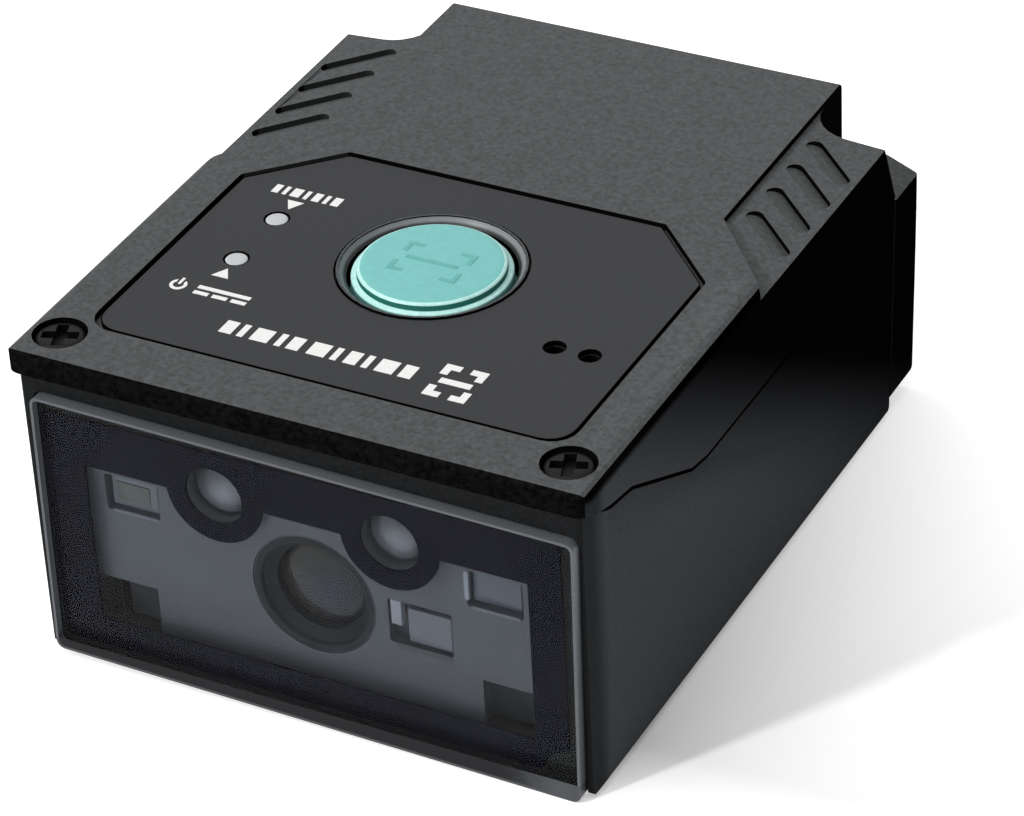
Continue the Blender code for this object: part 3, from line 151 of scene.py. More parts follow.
def smooth(piece, degrees=35):
    pick(piece)
    bpy.ops.object.shade_smooth_by_angle(angle=math.radians(degrees))
    return piece


def outward(piece):
    edit(piece)
    bpy.ops.mesh.select_all(action="SELECT")
    bpy.ops.mesh.remove_doubles(threshold=1e-7)
    bpy.ops.mesh.normals_make_consistent(inside=False)
    bpy.ops.object.mode_set(mode="OBJECT")
    return piece


def apply_modifier(piece, kind, **settings):
    """Adds a modifier with its settings and applies it."""
    pick(piece)
    modifier = piece.modifiers.new(kind.title(), kind)
    for key, value in settings.items():
        setattr(modifier, key, value)
    bpy.ops.object.modifier_apply(modifier=modifier.name)
    return piece


def carve(piece, cutter):
    apply_modifier(piece, "BOOLEAN", object=cutter, operation="DIFFERENCE", solver="EXACT")
    bpy.data.objects.remove(cutter)
    return piece


def drawn(name, rings, sides=96, axis="Z", at=(0, 0, 0)):
    """A round piece drawn out of a disc, ring by ring, each ring a (radius, height) pair. Where the
    last ring is the first one again, the piece is a closed tube."""
    start()
    radius, height = rings[0]
    bpy.ops.mesh.primitive_circle_add(vertices=sides, radius=radius, fill_type="NGON",
                                      location=(0, 0, height))
    piece = bpy.context.object
    bpy.ops.object.transform_apply(location=True, rotation=False, scale=False)
    bpy.ops.object.mode_set(mode="EDIT")
    bpy.context.tool_settings.mesh_select_mode = (False, False, True)
    bpy.ops.mesh.select_all(action="SELECT")
    for wide, tall in rings[1:]:
        bpy.ops.mesh.extrude_region_move(TRANSFORM_OT_translate={"value": (0, 0, tall - height)})
        grow = wide / radius
        bpy.ops.transform.resize(value=(grow, grow, 1), center_override=(0, 0, tall))
        radius, height = wide, tall
    if rings[0] == rings[-1]:
        bpy.ops.mesh.delete(type="ONLY_FACE")
    bpy.ops.object.mode_set(mode="OBJECT")
    outward(piece)
    if axis == "-Y":
        piece.rotation_euler.x = math.pi / 2
    elif axis == "Y":
        piece.rotation_euler.x = -math.pi / 2
    piece.location = at
    return settle(piece, name)


def in_mm(rings):
    return [(radius * MM, height * MM) for radius, height in rings]


def slab(name, size, at, edge=0.0):
    """A block with every edge eased by edge."""
    start()
    bpy.ops.mesh.primitive_cube_add(size=1, location=at)
    piece = bpy.context.object
    piece.scale = size
    settle(piece, name)
    if edge > 0:
        apply_modifier(piece, "BEVEL", width=edge, segments=3, limit_method="ANGLE",
                       angle_limit=math.radians(40))
    return smooth(piece)


def recut(node, name):
    """A moulding taken from its CAD solid, with its flat facets merged and its fillets smooth."""
    start()
    pick(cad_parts[node])
    bpy.ops.object.duplicate()
    piece = bpy.context.object
    for key in list(piece.keys()):
        del piece[key]
    world = piece.matrix_world.copy()
    piece.parent = None
    piece.matrix_world = world
    piece.data.materials.clear()
    edit(piece)
    bpy.ops.mesh.select_all(action="SELECT")
    bpy.ops.mesh.remove_doubles(threshold=2e-6)
    bpy.ops.mesh.dissolve_limited(angle_limit=math.radians(0.4))
    bpy.ops.mesh.normals_make_consistent(inside=False)
    settle(piece, name)
    return smooth(piece, 25)


def joined(name, *pieces):
    """Several pieces as one, each face keeping its material."""
    pick(*pieces)
    bpy.ops.object.join()
    return settle(bpy.context.object, name)


def paint(piece, material, test):
    """Gives the faces for which test is true another material."""
    piece.data.materials.append(material)
    index = len(piece.data.materials) - 1
    for face in piece.data.polygons:
        if test(face):
            face.material_index = index
    return piece


def tinted(piece, material):
    piece.data.materials.clear()
    piece.data.materials.append(material)
    return piece


def dress(piece, body=READER, replaces=()):
    """Parents a finished piece to its body and hides the nodes that it stands for."""
    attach(piece, body)
    if replaces:
        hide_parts(*replaces)
    return piece


def coat(material, *nodes):
    for node in nodes:
        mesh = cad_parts[node].data
        mesh.materials.clear()
        mesh.materials.append(material)


# Materials


def add(tree, kind, settings=None, *sockets, **links):
    """Adds a node, sets its properties and inputs, and links the given sockets to its inputs, either
    in their order, with None for one that is left out, or by name."""
    node = tree.nodes.new(kind)
    for key, value in (settings or {}).items():
        if isinstance(key, str) and hasattr(node, key):
            setattr(node, key, value)
        else:
            node.inputs[key].default_value = value
    for place, socket in enumerate(sockets):
        if socket is not None:
            tree.links.new(socket, node.inputs[place])
    for key, socket in links.items():
        tree.links.new(socket, node.inputs[key.replace("_", " ")])
    return node


def blank(name, colour, roughness, **sockets):
    """A material whose shader has these plain values, with its tree, shader and coordinates."""
    material = bpy.data.materials.new(name)
    material.use_nodes = True
    tree = material.node_tree
    shader = tree.nodes["Principled BSDF"]
    shader.inputs["Base Color"].default_value = (*colour, 1)
    shader.inputs["Roughness"].default_value = roughness
    for key, value in sockets.items():
        shader.inputs[key.replace("_", " ")].default_value = value
    place = add(tree, "ShaderNodeTexCoord").outputs["Object"]
    return material, tree, shader, place


def pitted(tree, shader, pattern, height):
    """Raises the surface by height mm where the pattern is light."""
    bump = add(tree, "ShaderNodeBump", {"Strength": 1.0, "Distance": height * MM}, Height=pattern)
    tree.links.new(bump.outputs["Normal"], shader.inputs["Normal"])


def toned(tree, shader, colour, level):
    """Gives the shader its colour times a level that varies over the surface."""
    tone = add(tree, "ShaderNodeVectorMath", {"operation": "SCALE", 0: colour}, Scale=level)
    tree.links.new(tone.outputs["Vector"], shader.inputs["Base Color"])


def side_shade(tree, place, level):
    """The photograph's shade on the right side, painted by the place on the object: none at the
    front's foot, next to black at the rear's top, and some at the front corner and close under the
    cover's edge. It stands for light that the plain lamps don't give, and not for the plastic."""
    parts = add(tree, "ShaderNodeSeparateXYZ", Vector=place)
    corner = add(tree, "ShaderNodeMapRange", {
        "interpolation_type": "SMOOTHSTEP", "From Min": -24.3 * MM, "From Max": -22.8 * MM,
        "To Min": 0.45, "To Max": 1.0}, Value=parts.outputs["Y"])
    brow = add(tree, "ShaderNodeMapRange", {
        "interpolation_type": "SMOOTHSTEP", "From Min": 22.9 * MM, "From Max": 23.5 * MM,
        "To Min": 1.0, "To Max": 0.05}, Value=parts.outputs["Z"])
    along = add(tree, "ShaderNodeVectorMath", {"operation": "DOT_PRODUCT", 1: SHADE_SLOPE}, place)
    sink = add(tree, "ShaderNodeMapRange", {
        "interpolation_type": "SMOOTHSTEP", "From Min": SHADE_STARTS, "From Max": SHADE_ENDS,
        "To Min": 1.0, "To Max": SHADE_DEEPEST}, Value=along.outputs["Value"])
    for part in (corner, brow, sink):
        level = add(tree, "ShaderNodeMath", {"operation": "MULTIPLY"}, level,
                    part.outputs["Result"]).outputs[0]
    return level


def moulded_abs(name, colour, grain=0.36, height=0.012, roughness=0.62, speck=0.42, shaded=False,
                **sockets):
    """Spark-eroded black ABS: a pebble grain about grain mm across, height mm deep, that breaks the
    light into specks. With shaded, the tone also carries the painted shade of side_shade."""
    material, tree, shader, place = blank(name, colour, roughness, **sockets)
    fine = add(tree, "ShaderNodeTexNoise", {"Scale": 1000 / grain, "Detail": 3.0, "Roughness": 0.6},
               Vector=place)
    pitted(tree, shader, fine.outputs["Fac"], height)
    specks = add(tree, "ShaderNodeMapRange", {"From Min": 0.25, "From Max": 0.75, "To Min": 1 - speck,
                                              "To Max": 1 + speck}, Value=fine.outputs["Fac"])
    level = specks.outputs["Result"]
    if shaded:
        level = side_shade(tree, place, level)
    toned(tree, shader, colour, level)
    return material


def matt(name, colour, roughness, grain=0.2, height=0.006, spread=0.08, **sockets):
    """Smooth moulded, printed or turned stock: nearly even, with a faint orange-peel skin and a
    slight drift of tone, so that a highlight never looks ruled."""
    material, tree, shader, place = blank(name, colour, roughness, **sockets)
    skin = add(tree, "ShaderNodeTexNoise", {"Scale": 1000 / grain, "Detail": 2.0}, Vector=place)
    pitted(tree, shader, skin.outputs["Fac"], height)
    drift = add(tree, "ShaderNodeMapRange", {"From Min": 0.3, "From Max": 0.7, "To Min": 1 - spread,
                                             "To Max": 1 + spread}, Value=skin.outputs["Fac"])
    toned(tree, shader, colour, drift.outputs["Result"])
    return material


def ringed(name, centre, middle_tone, radius, edge_tone, roughness, inner=0.15, waver=0.3, **sockets):
    """Frosted epoxy, lens glass or a turned ring, whose tone runs from one near its centre, out to the
    share inner of radius, to another at radius, along a line that wavers a little."""
    material, tree, shader, place = blank(name, middle_tone, roughness, **sockets)
    away = add(tree, "ShaderNodeVectorMath", {"operation": "DISTANCE", 1: centre}, place)
    cloud = add(tree, "ShaderNodeTexNoise", {"Scale": 900.0, "Detail": 2.0}, Vector=place)
    line = add(tree, "ShaderNodeMath", {"operation": "MULTIPLY_ADD", 1: radius * waver},
               cloud.outputs["Fac"], None, away.outputs["Value"])
    share = add(tree, "ShaderNodeMapRange", {
        "interpolation_type": "SMOOTHSTEP", "From Min": radius * inner,
        "From Max": radius * (1 + waver / 3)}, Value=line.outputs[0])
    blend = add(tree, "ShaderNodeMix", {"data_type": "RGBA", COLOUR_A: (*middle_tone, 1),
                                        COLOUR_B: (*edge_tone, 1)}, share.outputs["Result"])
    tree.links.new(blend.outputs[COLOUR_OUT], shader.inputs["Base Color"])
    return material


def clear_acrylic(name, tint, roughness=0.085, haze=0.02):
    """Cast acrylic with a coating against reflections, which its low IOR stands for: clear, faintly
    tinted, and hazy in clouds a few millimetres across."""
    material, tree, shader, place = blank(name, tint, roughness, Transmission_Weight=1.0, IOR=1.12)
    cloud = add(tree, "ShaderNodeTexNoise", {"Scale": 400.0, "Detail": 3.0}, Vector=place)
    rough = add(tree, "ShaderNodeMapRange", {"From Min": 0.3, "From Max": 0.7, "To Min": roughness,
                                             "To Max": roughness + haze}, Value=cloud.outputs["Fac"])
    tree.links.new(rough.outputs["Result"], shader.inputs["Roughness"])
    return material


def engine_grey(name, colour, roughness, foot, head):
    """Grey polycarbonate with painted shade: darker below the height foot than above head, both in mm."""
    material, tree, shader, place = blank(name, colour, roughness)
    parts = add(tree, "ShaderNodeSeparateXYZ", Vector=place)
    rise = add(tree, "ShaderNodeMapRange", {
        "interpolation_type": "SMOOTHSTEP", "From Min": foot * MM, "From Max": head * MM,
        "To Min": 0.62, "To Max": 1.0}, Value=parts.outputs["Z"])
    cloud = add(tree, "ShaderNodeTexNoise", {"Scale": 260.0, "Detail": 2.0}, Vector=place)
    drift = add(tree, "ShaderNodeMapRange", {"From Min": 0.3, "From Max": 0.7, "To Min": 0.93,
                                             "To Max": 1.07}, Value=cloud.outputs["Fac"])
    both = add(tree, "ShaderNodeMath", {"operation": "MULTIPLY"}, rise.outputs["Result"],
               drift.outputs["Result"])
    toned(tree, shader, colour, both.outputs[0])
    return material


def seen_rays(tree):
    """1 for what the camera sees, directly, mirrored or through something clear, and else 0."""
    path = add(tree, "ShaderNodeLightPath")
    level = path.outputs["Is Camera Ray"]
    for kind in ("Is Glossy Ray", "Is Transmission Ray"):
        level = add(tree, "ShaderNodeMath", {"operation": "MAXIMUM"}, level, path.outputs[kind]).outputs[0]
    return level


def backdrop(name, colour, near, far, aside):
    """Seamless pale paper: it takes the object's shadow, and is lifted to white where it is seen. The
    lift grows from near, beside the front, to far behind, so that the shadow fades to the rear. It
    is aside on the other side of the object, and falls from that in front of it."""
    material, tree, shader, place = blank(name, colour, 0.9, Specular_IOR_Level=0.0)
    parts = add(tree, "ShaderNodeSeparateXYZ", Vector=place)
    along = add(tree, "ShaderNodeMapRange", {"From Min": -20 * MM, "From Max": 28 * MM, "To Min": near,
                                             "To Max": far}, Value=parts.outputs["Y"])
    across = add(tree, "ShaderNodeMapRange", {"From Min": 17 * MM, "From Max": 21 * MM, "To Min": aside,
                                              "To Max": 0.0}, Value=parts.outputs["X"])
    ahead = add(tree, "ShaderNodeMapRange", {"From Min": -27 * MM, "From Max": -15 * MM, "To Min": aside,
                                             "To Max": 0.0}, Value=parts.outputs["Y"])
    sides = add(tree, "ShaderNodeMath", {"operation": "MAXIMUM"}, across.outputs["Result"],
                ahead.outputs["Result"])
    glow = add(tree, "ShaderNodeMath", {"operation": "MAXIMUM"}, along.outputs["Result"],
               sides.outputs[0])
    cloud = add(tree, "ShaderNodeTexNoise", {"Scale": 6.0, "Detail": 2.0}, Vector=place)
    drift = add(tree, "ShaderNodeMapRange", {"To Min": 0.99, "To Max": 1.01}, Value=cloud.outputs["Fac"])
    toned(tree, shader, colour, drift.outputs["Result"])
    lift = add(tree, "ShaderNodeMath", {"operation": "MULTIPLY"}, seen_rays(tree), glow.outputs[0])
    shader.inputs["Emission Color"].default_value = (1, 1, 1, 1)
    tree.links.new(lift.outputs[0], shader.inputs["Emission Strength"])
    return material


class ReaderSizes(bpy.types.PropertyGroup):
    """Sizes of the pieces that are modelled here, on the CAD solids."""
    print_lift: FloatProperty(name="Print thickness", description="Height of the prints above the film",
                              default=0.03 * MM, unit="LENGTH")
    border: FloatProperty(name="Overlay border", description="Width of the black line at the film's edges",
                          default=0.07 * MM, unit="LENGTH")
    plate_edge: FloatProperty(name="Window edge", description="Width of the window plate's polished edge",
                              default=0.2 * MM, unit="LENGTH")
    crown: FloatProperty(name="Button crown", description="Rise of the button's domed face",
                         default=0.10 * MM, unit="LENGTH")
    stroke: FloatProperty(name="Sign stroke", description="Width of the button's raised lines",
                          default=0.34 * MM, unit="LENGTH")
    sides: IntProperty(name="Sides", description="Sides of each turned piece", default=96, min=24, max=256)


class ReaderColours(bpy.types.PropertyGroup):
    """Colours of the finishes."""
    # The cover, side and front colours are copies of one black with painted light and shade: the sides a
    # touch lighter, the front a darker painted shade
    cover: FloatVectorProperty(name="Cover", description="Grained tops", subtype="COLOR",
                               default=linear("#444647"))
    side: FloatVectorProperty(name="Sides", description="Side faces", subtype="COLOR",
                              default=linear("#494B4E"))
    front: FloatVectorProperty(name="Front", description="Housing's front and inside", subtype="COLOR",
                               default=linear("#1F2021"))
    overlay: FloatVectorProperty(name="Overlay", description="Overlay film", subtype="COLOR",
                                 default=linear("#2E2F31"))
    button: FloatVectorProperty(name="Button", description="Trigger button", subtype="COLOR",
                                default=linear("#72B8B5"))
    engine: FloatVectorProperty(name="Engine", description="Scan engine's face", subtype="COLOR",
                                default=linear("#3B3F46"))
    prints: FloatVectorProperty(name="Prints", description="White ink", subtype="COLOR",
                                default=linear("#E6E6E4"))


def sizes():
    return bpy.context.scene.reader_sizes


def colours():
    return bpy.context.scene.reader_colours


# Stage


def white_floor():
    start()
    bpy.ops.mesh.primitive_plane_add(size=4, location=(0, 0, 0))
    floor = settle(bpy.context.object, "floor")
    floor.data.materials.append(backdrop("white_paper", linear("#E7E7E7"), 0.13, 0.62, 0.5))


def studio_light(scene):
    """An even white room and two lamps from the front left."""
    world = bpy.data.worlds.new("studio")
    scene.world = world
    world.use_nodes = True
    tree = world.node_tree
    light = tree.nodes["Background"]
    light.inputs["Color"].default_value = (1, 1, 1, 1)
    strength = add(tree, "ShaderNodeMapRange", {"To Min": ROOM_LIGHT, "To Max": SEEN_WHITE},
                   Value=seen_rays(tree))
    tree.links.new(strength.outputs["Result"], light.inputs["Strength"])
    for name, towards, rise, angle, level in LAMPS:
        lamp = bpy.data.lights.new(name, "SUN")
        lamp.angle = math.radians(angle)
        lamp.energy = level * math.pi / math.sin(math.radians(rise))
        holder = bpy.data.objects.new(name, lamp)
        scene.collection.objects.link(holder)
        flat = Vector((*towards, 0)).normalized() * math.cos(math.radians(rise))
        place = flat + Vector((0, 0, math.sin(math.radians(rise))))
        holder.location = place * 0.5
        holder.rotation_euler = (-place).to_track_quat("-Z", "Y").to_euler()


def photo_camera(scene):
    azimuth, elevation, roll = map(math.radians, (CAMERA_AZIMUTH, CAMERA_ELEVATION, CAMERA_ROLL))
    look = Vector((-math.sin(azimuth) * math.cos(elevation), math.cos(azimuth) * math.cos(elevation),
                   -math.sin(elevation)))
    right = look.cross(Vector((0, 0, 1))).normalized()
    up = right.cross(look)
    across = math.cos(roll) * right + math.sin(roll) * up
    above = math.cos(roll) * up - math.sin(roll) * right
    lens = bpy.data.cameras.new("view")
    lens.sensor_width = SENSOR_WIDTH
    lens.sensor_fit = "HORIZONTAL"
    lens.lens = SENSOR_WIDTH * FOCAL_LENGTH_PX / FRAME_WIDTH_PX
    lens.clip_start, lens.clip_end = 0.01, 20.0
    camera = bpy.data.objects.new("view", lens)
    scene.collection.objects.link(camera)
    turn = Matrix((across, above, -look)).transposed().to_4x4()
    camera.matrix_world = Matrix.Translation(CAMERA_PLACE) @ turn
    bpy.context.scene.camera = camera


class READER_OT_stage(bpy.types.Operator):
    """Floor, lamps and camera"""
    bl_idname = "reader.stage"
    bl_label = "Stage"

    def execute(self, context):
        white_floor()
        studio_light(context.scene)
        photo_camera(context.scene)
        context.scene.view_settings.view_transform = "Standard"
        return {"FINISHED"}


# Mouldings


def outside(face):
    """True on the outer skin of the reader's two sides."""
    return not COVER_LOW.x + SKIN_X < face.center.x < COVER_HIGH.x - SKIN_X


def mould_finishes():
    """The black ABS finishes, as copies of one black with painted light and shade by the way a face looks:
    the sides a touch lighter than the tops, the front darker and the lip and downward faces darker still
    as painted shade, the recesses near-black painted shade, and the slot walls a lighter painted shade.
    The grained tops read grey where light falls on them. The sides and recesses have no specular level,
    which at a grazing angle would turn their black to grey."""
    tone = colours()
    side = {"grain": 0.26, "roughness": 0.75, "speck": 0.12, "Specular_IOR_Level": 0.0}
    return {
        "top": moulded_abs("grained_abs_top", tone.cover, Specular_IOR_Level=0.2),
        "right": moulded_abs("grained_abs_side_painted_shade", tone.side, shaded=True, **side),
        "left": moulded_abs("grained_abs_left", tone.side, **side),
        "front": moulded_abs("grained_abs_front_painted_shade", tone.front, grain=0.26, roughness=0.6, speck=0.3,
                             Specular_IOR_Level=0.02),
        "lip": moulded_abs("grained_abs_lip_painted_shade", linear("#0E0E0F"), speck=0.8, Specular_IOR_Level=0.0),
        # Painted shade: near black for the cover's pocket walls, the groove round the collar and the
        # housing's seam
        "recess": moulded_abs("painted_shade_recess", linear("#0B0B0C"), roughness=0.5, speck=0.05,
                              Specular_IOR_Level=0.0),
        "slot": moulded_abs("painted_shade_slot", linear("#2B2C2D"), speck=0.1, Specular_IOR_Level=0.0),
    }


def cover_shell(finish):
    hub = middle("trigger_button")
    front_y, back_y = COVER_LOW.y + SKIN_Y, COVER_HIGH.y - SKIN_Y
    # The collar's bevel, with painted shade and highlight: black in its well, and light on its upper edge
    painted_collar = ringed("collar_painted_highlight_and_shade", (hub.x, hub.y, COVER_HIGH.z - 0.2 * MM), linear("#08090A"),
                   5.95 * MM, linear("#808386"), 0.4, 0.965, 0.0, Specular_IOR_Level=0.3)

    def reach(face):
        return math.hypot(face.center.x - hub.x, face.center.y - hub.y)

    cover = tinted(recut("top_cover", "cover_shell"), finish["top"])
    paint(cover, finish["right"], lambda f: f.normal.x > 0.6 and outside(f))
    paint(cover, finish["left"], lambda f: f.normal.x < -0.6 and outside(f)
          or f.normal.y > 0.6 and f.center.y > back_y)
    # The front lip and the faces that look down take the lip's painted shade
    paint(cover, finish["lip"], lambda f: f.normal.y < -0.6 and f.center.y < front_y
          or f.normal.z < -0.6)
    # Painted shade: the pocket and slot walls inside the cover go near black
    paint(cover, finish["recess"], lambda f: abs(f.normal.z) < 0.6 and not outside(f)
          and front_y < f.center.y < back_y)
    # The left cheek's slot walls take a lighter painted shade
    paint(cover, finish["slot"], lambda f: abs(f.normal.z) < 0.6 and -20 * MM < f.center.x < -14 * MM
          and 0 < f.center.y < 21 * MM)
    paint(cover, painted_collar, lambda f: 0.3 < f.normal.z < 0.97 and reach(f) < 6.2 * MM)
    # Painted shade in the groove between the collar and the film
    paint(cover, finish["recess"], lambda f: f.normal.z > 0.97 and 6.0 * MM < reach(f) < 6.28 * MM)
    dress(cover, replaces=["top_cover"])


def housing_tub(finish):
    """The tub, with the ledge and tongue inside its seam painted black as the seam's shade, so that the
    seam reads as a line.
    """
    seam_x = high("lower_housing").x - 1.2 * MM
    tub = tinted(recut("lower_housing", "housing_tub"), finish["front"])
    paint(tub, finish["right"], lambda f: f.normal.x > 0.9 and outside(f))
    paint(tub, finish["left"], lambda f: f.normal.x < -0.9 and outside(f))
    paint(tub, finish["recess"], lambda f: abs(f.center.x) > seam_x and f.center.z > 3 * MM
          and (abs(f.normal.x) < 0.5 and f.normal.z > 0.1 or abs(f.normal.x) > 0.9 and not outside(f)))
    dress(tub, replaces=["lower_housing"])


def rear_plate(finish):
    # The panel's faces take the black's painted light and shade by the way they look
    rear = tinted(recut("rear_panel", "rear_plate"), finish["front"])
    paint(rear, finish["top"], lambda f: f.normal.z > 0.6)
    paint(rear, finish["right"], lambda f: f.normal.x > 0.6 and outside(f))
    paint(rear, finish["left"], lambda f: f.normal.x < -0.6 and outside(f) or f.normal.y > 0.6)
    dress(rear, replaces=["rear_panel"])


def overlay_sheet():
    """Matt polyester film, back-printed dark grey, with a black line all along its edge that is painted
    shade of the gap round the film.
    """
    film = matt("overlay_film", colours().overlay, 0.5, grain=0.12, height=0.003, spread=0.05,
                Specular_IOR_Level=0.15)
    # Painted shade: the gap round the film, as a black line on the film's edge and sides
    ink = matt("painted_gap_shade", linear("#060607"), 0.6, Specular_IOR_Level=0.0)
    sheet = tinted(recut("top_overlay", "overlay_sheet"), film)
    edit(sheet)
    level = high("top_overlay").z - 0.01 * MM
    choose(sheet, "faces", lambda f: f.normal.z > 0.9 and f.center.z > level)
    bpy.ops.mesh.inset(thickness=sizes().border, depth=0, use_select_inset=True)
    bpy.ops.object.mode_set(mode="OBJECT")
    paint(sheet, ink, lambda f: f.select or f.normal.z < 0.5)
    dress(sheet, replaces=["top_overlay"])


def gland_ring():
    """A rubber ring with a groove for the panel's edge and a lip round its bore."""
    rubber = matt("nitrile_rubber", linear("#1C1C1C"), 0.75)
    a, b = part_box("cable_gland")
    centre = (a + b) / 2
    radius = (b.x - a.x) / 2
    bore = radius * 0.44
    groove, shoulder = radius * 0.75, radius * 0.93
    rings = [(bore, 0), (shoulder, 0), (shoulder, 1.0), (groove, 1.0), (groove, 2.68),
             (radius * 0.98, 2.68), (radius, 2.85), (radius, 3.3), (radius * 0.96, 3.6),
             (radius * 0.8, 3.7), (bore * 1.35, 3.7), (bore * 1.1, 3.62), (bore, 3.4), (bore, 0)]
    gland = drawn("gland_ring", [(wide, tall * MM) for wide, tall in rings], axis="Y",
                  at=(centre.x, a.y, centre.z))
    dress(tinted(smooth(gland), rubber), replaces=["cable_gland"])


class READER_OT_mouldings(bpy.types.Operator):
    """Cover, housing, rear panel, overlay film and cable gland"""
    bl_idname = "reader.mouldings"
    bl_label = "Mouldings"

    def execute(self, context):
        finish = mould_finishes()
        cover_shell(finish)
        housing_tub(finish)
        rear_plate(finish)
        overlay_sheet()
        gland_ring()
        return {"FINISHED"}


# Prints and signs. Places and sizes are in mm, and a row of bars is (width, gap to the next) pairs

CODE_START, CODE_Y, CODE_TALL = -9.0, -17.7, 1.4
CODE_BARS = ((0.9, 0.4), (0.45, 0.5), (1.3, 0.5), (0.45, 0.4), (0.9, 0.6), (1.3, 0.4), (0.45, 0.5),
             (0.9, 0.4), (0.45, 0.5), (1.3, 0.4), (0.9, 0))
READ_START, READ_Y, READ_TALL = -14.4, -1.65, 1.0
READ_BARS = ((0.5, 0.3), (0.3, 0.3), (0.7, 0.3), (0.3, 0.35), (0.55, 0.3), (0.3, 0.3), (0.6, 0))
POINTER_X, POINTER_RADIUS = -12.17, 0.72
POINTERS = ((-3.0, 180), (-12.4, 0))
POWER_X, POWER_Y = -14.2, -14.6
DIRECT_CURRENT_BARS = ((-10.9, -14.3, 3.9), (-12.3, -14.95, 1.1), (-10.9, -14.95, 1.1),
                       (-9.5, -14.95, 1.1))


def frame_sign(name, centre, half, stroke, arm, base, top):
    """The generic scan sign: four corner brackets round a line, as one piece of raised strokes."""
    parts = []
    rest_of = arm - stroke
    for across in (-1, 1):
        for along in (-1, 1):
            x, y = centre[0] + across * half[0], centre[1] + along * half[1]
            bars = (((arm, stroke), (x - across * arm / 2, y - along * stroke / 2)),
                    ((stroke, rest_of), (x - across * stroke / 2, y - along * (stroke + rest_of / 2))))
            for size, place in bars:
                head = top(*place)
                parts.append(slab("stroke", (*size, head - base), (*place, (head + base) / 2)))
    head = top(*centre)
    parts.append(slab("stroke", (half[0] * 1.5, stroke, head - base), (*centre, (head + base) / 2)))
    return joined(name, *parts)


class READER_OT_prints(bpy.types.Operator):
    """White prints on the overlay film"""
    bl_idname = "reader.prints"
    bl_label = "Prints"

    def execute(self, context):
        ink = matt("white_ink", colours().prints, 0.6, height=0.002, spread=0.04, Specular_IOR_Level=0.2)
        film = high("top_overlay").z
        base, top = film - 0.05 * MM, film + sizes().print_lift
        thick, level = top - base, (base + top) / 2

        def bar(x, y, wide, tall):
            return slab("bar", (wide * MM, tall * MM, thick), (x * MM, y * MM, level))

        def row(name, x, y, tall, widths):
            bars = []
            for wide, gap in widths:
                bars.append(bar(x + wide / 2, y, wide, tall))
                x += wide + gap
            return joined(name, *bars)

        code = row("code_bars", CODE_START, CODE_Y, CODE_TALL, CODE_BARS)
        sign = frame_sign("scan_sign", (7.8 * MM, CODE_Y * MM), (1.5 * MM, 1.8 * MM), 0.55 * MM,
                          1.15 * MM, base, lambda x, y: top)
        marks = []
        for y, turn in POINTERS:
            start()
            bpy.ops.mesh.primitive_cylinder_add(vertices=3, radius=POINTER_RADIUS * MM, depth=thick,
                                                location=(POINTER_X * MM, y * MM, level),
                                                rotation=(0, 0, math.radians(turn)))
            marks.append(settle(bpy.context.object, "pointer"))
        pointers = joined("pointers", *marks)
        read = row("read_sign", READ_START, READ_Y, READ_TALL, READ_BARS)
        inner, outer = 0.36 * MM, 0.60 * MM
        loop = drawn("loop", [(inner, base), (outer, base), (outer, top), (inner, top), (inner, base)], 32,
                     at=(POWER_X * MM, POWER_Y * MM, 0))
        carve(loop, slab("opening", (0.56 * MM, 0.6 * MM, 1 * MM), (POWER_X * MM, -14.1 * MM, top)))
        power = joined("power_sign", loop, bar(POWER_X, -14.15, 0.2, 0.75),
                       *[bar(x, y, wide, 0.36) for x, y, wide in DIRECT_CURRENT_BARS])
        for piece in (code, sign, pointers, read, power):
            dress(tinted(piece, ink))
        return {"FINISHED"}


class READER_OT_button(bpy.types.Operator):
    """Trigger button with its raised sign"""
    bl_idname = "reader.button"
    bl_label = "Button"

    def execute(self, context):
        a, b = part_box("trigger_button")
        centre = (a + b) / 2
        top = b.z - 0.04 * MM
        rise = sizes().crown
        flange = (b.x - a.x) / 2
        wide = flange - 1.0 * MM
        face = wide - 0.38 * MM
        rim = b.z - 0.68 * MM
        dish = face - 0.24 * MM

        def dome(share):
            return top - rise * share ** 2

        def dome_at(x, y):
            return dome(min(1.0, math.hypot(x - centre.x, y - centre.y) / dish)) + 0.028 * MM

        rings = [(wide - 1.1 * MM, a.z), (flange, a.z), (flange, a.z + 0.6 * MM),
                 (wide, a.z + 0.6 * MM), (wide, rim - 0.14 * MM), (wide - 0.04 * MM, rim - 0.04 * MM),
                 (wide - 0.14 * MM, rim), (face + 0.02 * MM, rim), (face, rim + 0.02 * MM),
                 (face - 0.02 * MM, top - 0.24 * MM), (face - 0.08 * MM, top - 0.17 * MM)]
        rings += [(dish * share, dome(share)) for share in (1 - k / 12 for k in range(12))]
        button = drawn("button_cap", rings, sizes().sides, at=(centre.x, centre.y, 0))
        # Satin moulded ABS, with a painted highlight, a light line where its edges turn and on the rim,
        # and painted shade on the dark wall below them
        teal = matt("satin_teal_abs", colours().button, 0.45, grain=0.5, height=0.005, spread=0.04,
                    Specular_IOR_Level=0.4)
        wall = matt("teal_painted_shade_wall", linear("#1B6358"), 0.4, grain=0.5, height=0.004, Specular_IOR_Level=0.2)
        pale = matt("teal_painted_highlight_edge", linear("#B4E3DD"), 0.35, grain=0.5, height=0.004, Specular_IOR_Level=0.5)
        tinted(smooth(button, 50), teal)
        paint(button, wall, lambda f: abs(f.normal.z) < 0.5 and f.center.z > rim)
        paint(button, pale, lambda f: 0.5 <= f.normal.z < 0.95 and f.center.z > rim
              or f.normal.z > 0.3 and rim - 0.2 * MM < f.center.z < rim + 0.005 * MM)
        dress(button, BUTTON, ["trigger_button"])
        sign = frame_sign("button_sign", (centre.x, centre.y), (2.5 * MM, 1.75 * MM), sizes().stroke,
                          1.15 * MM, top - 0.3 * MM, dome_at)
        emboss = matt("teal_emboss", linear("#5FA7A2"), 0.45, height=0.003, Specular_IOR_Level=0.4)
        dress(tinted(sign, emboss), BUTTON)
        return {"FINISHED"}


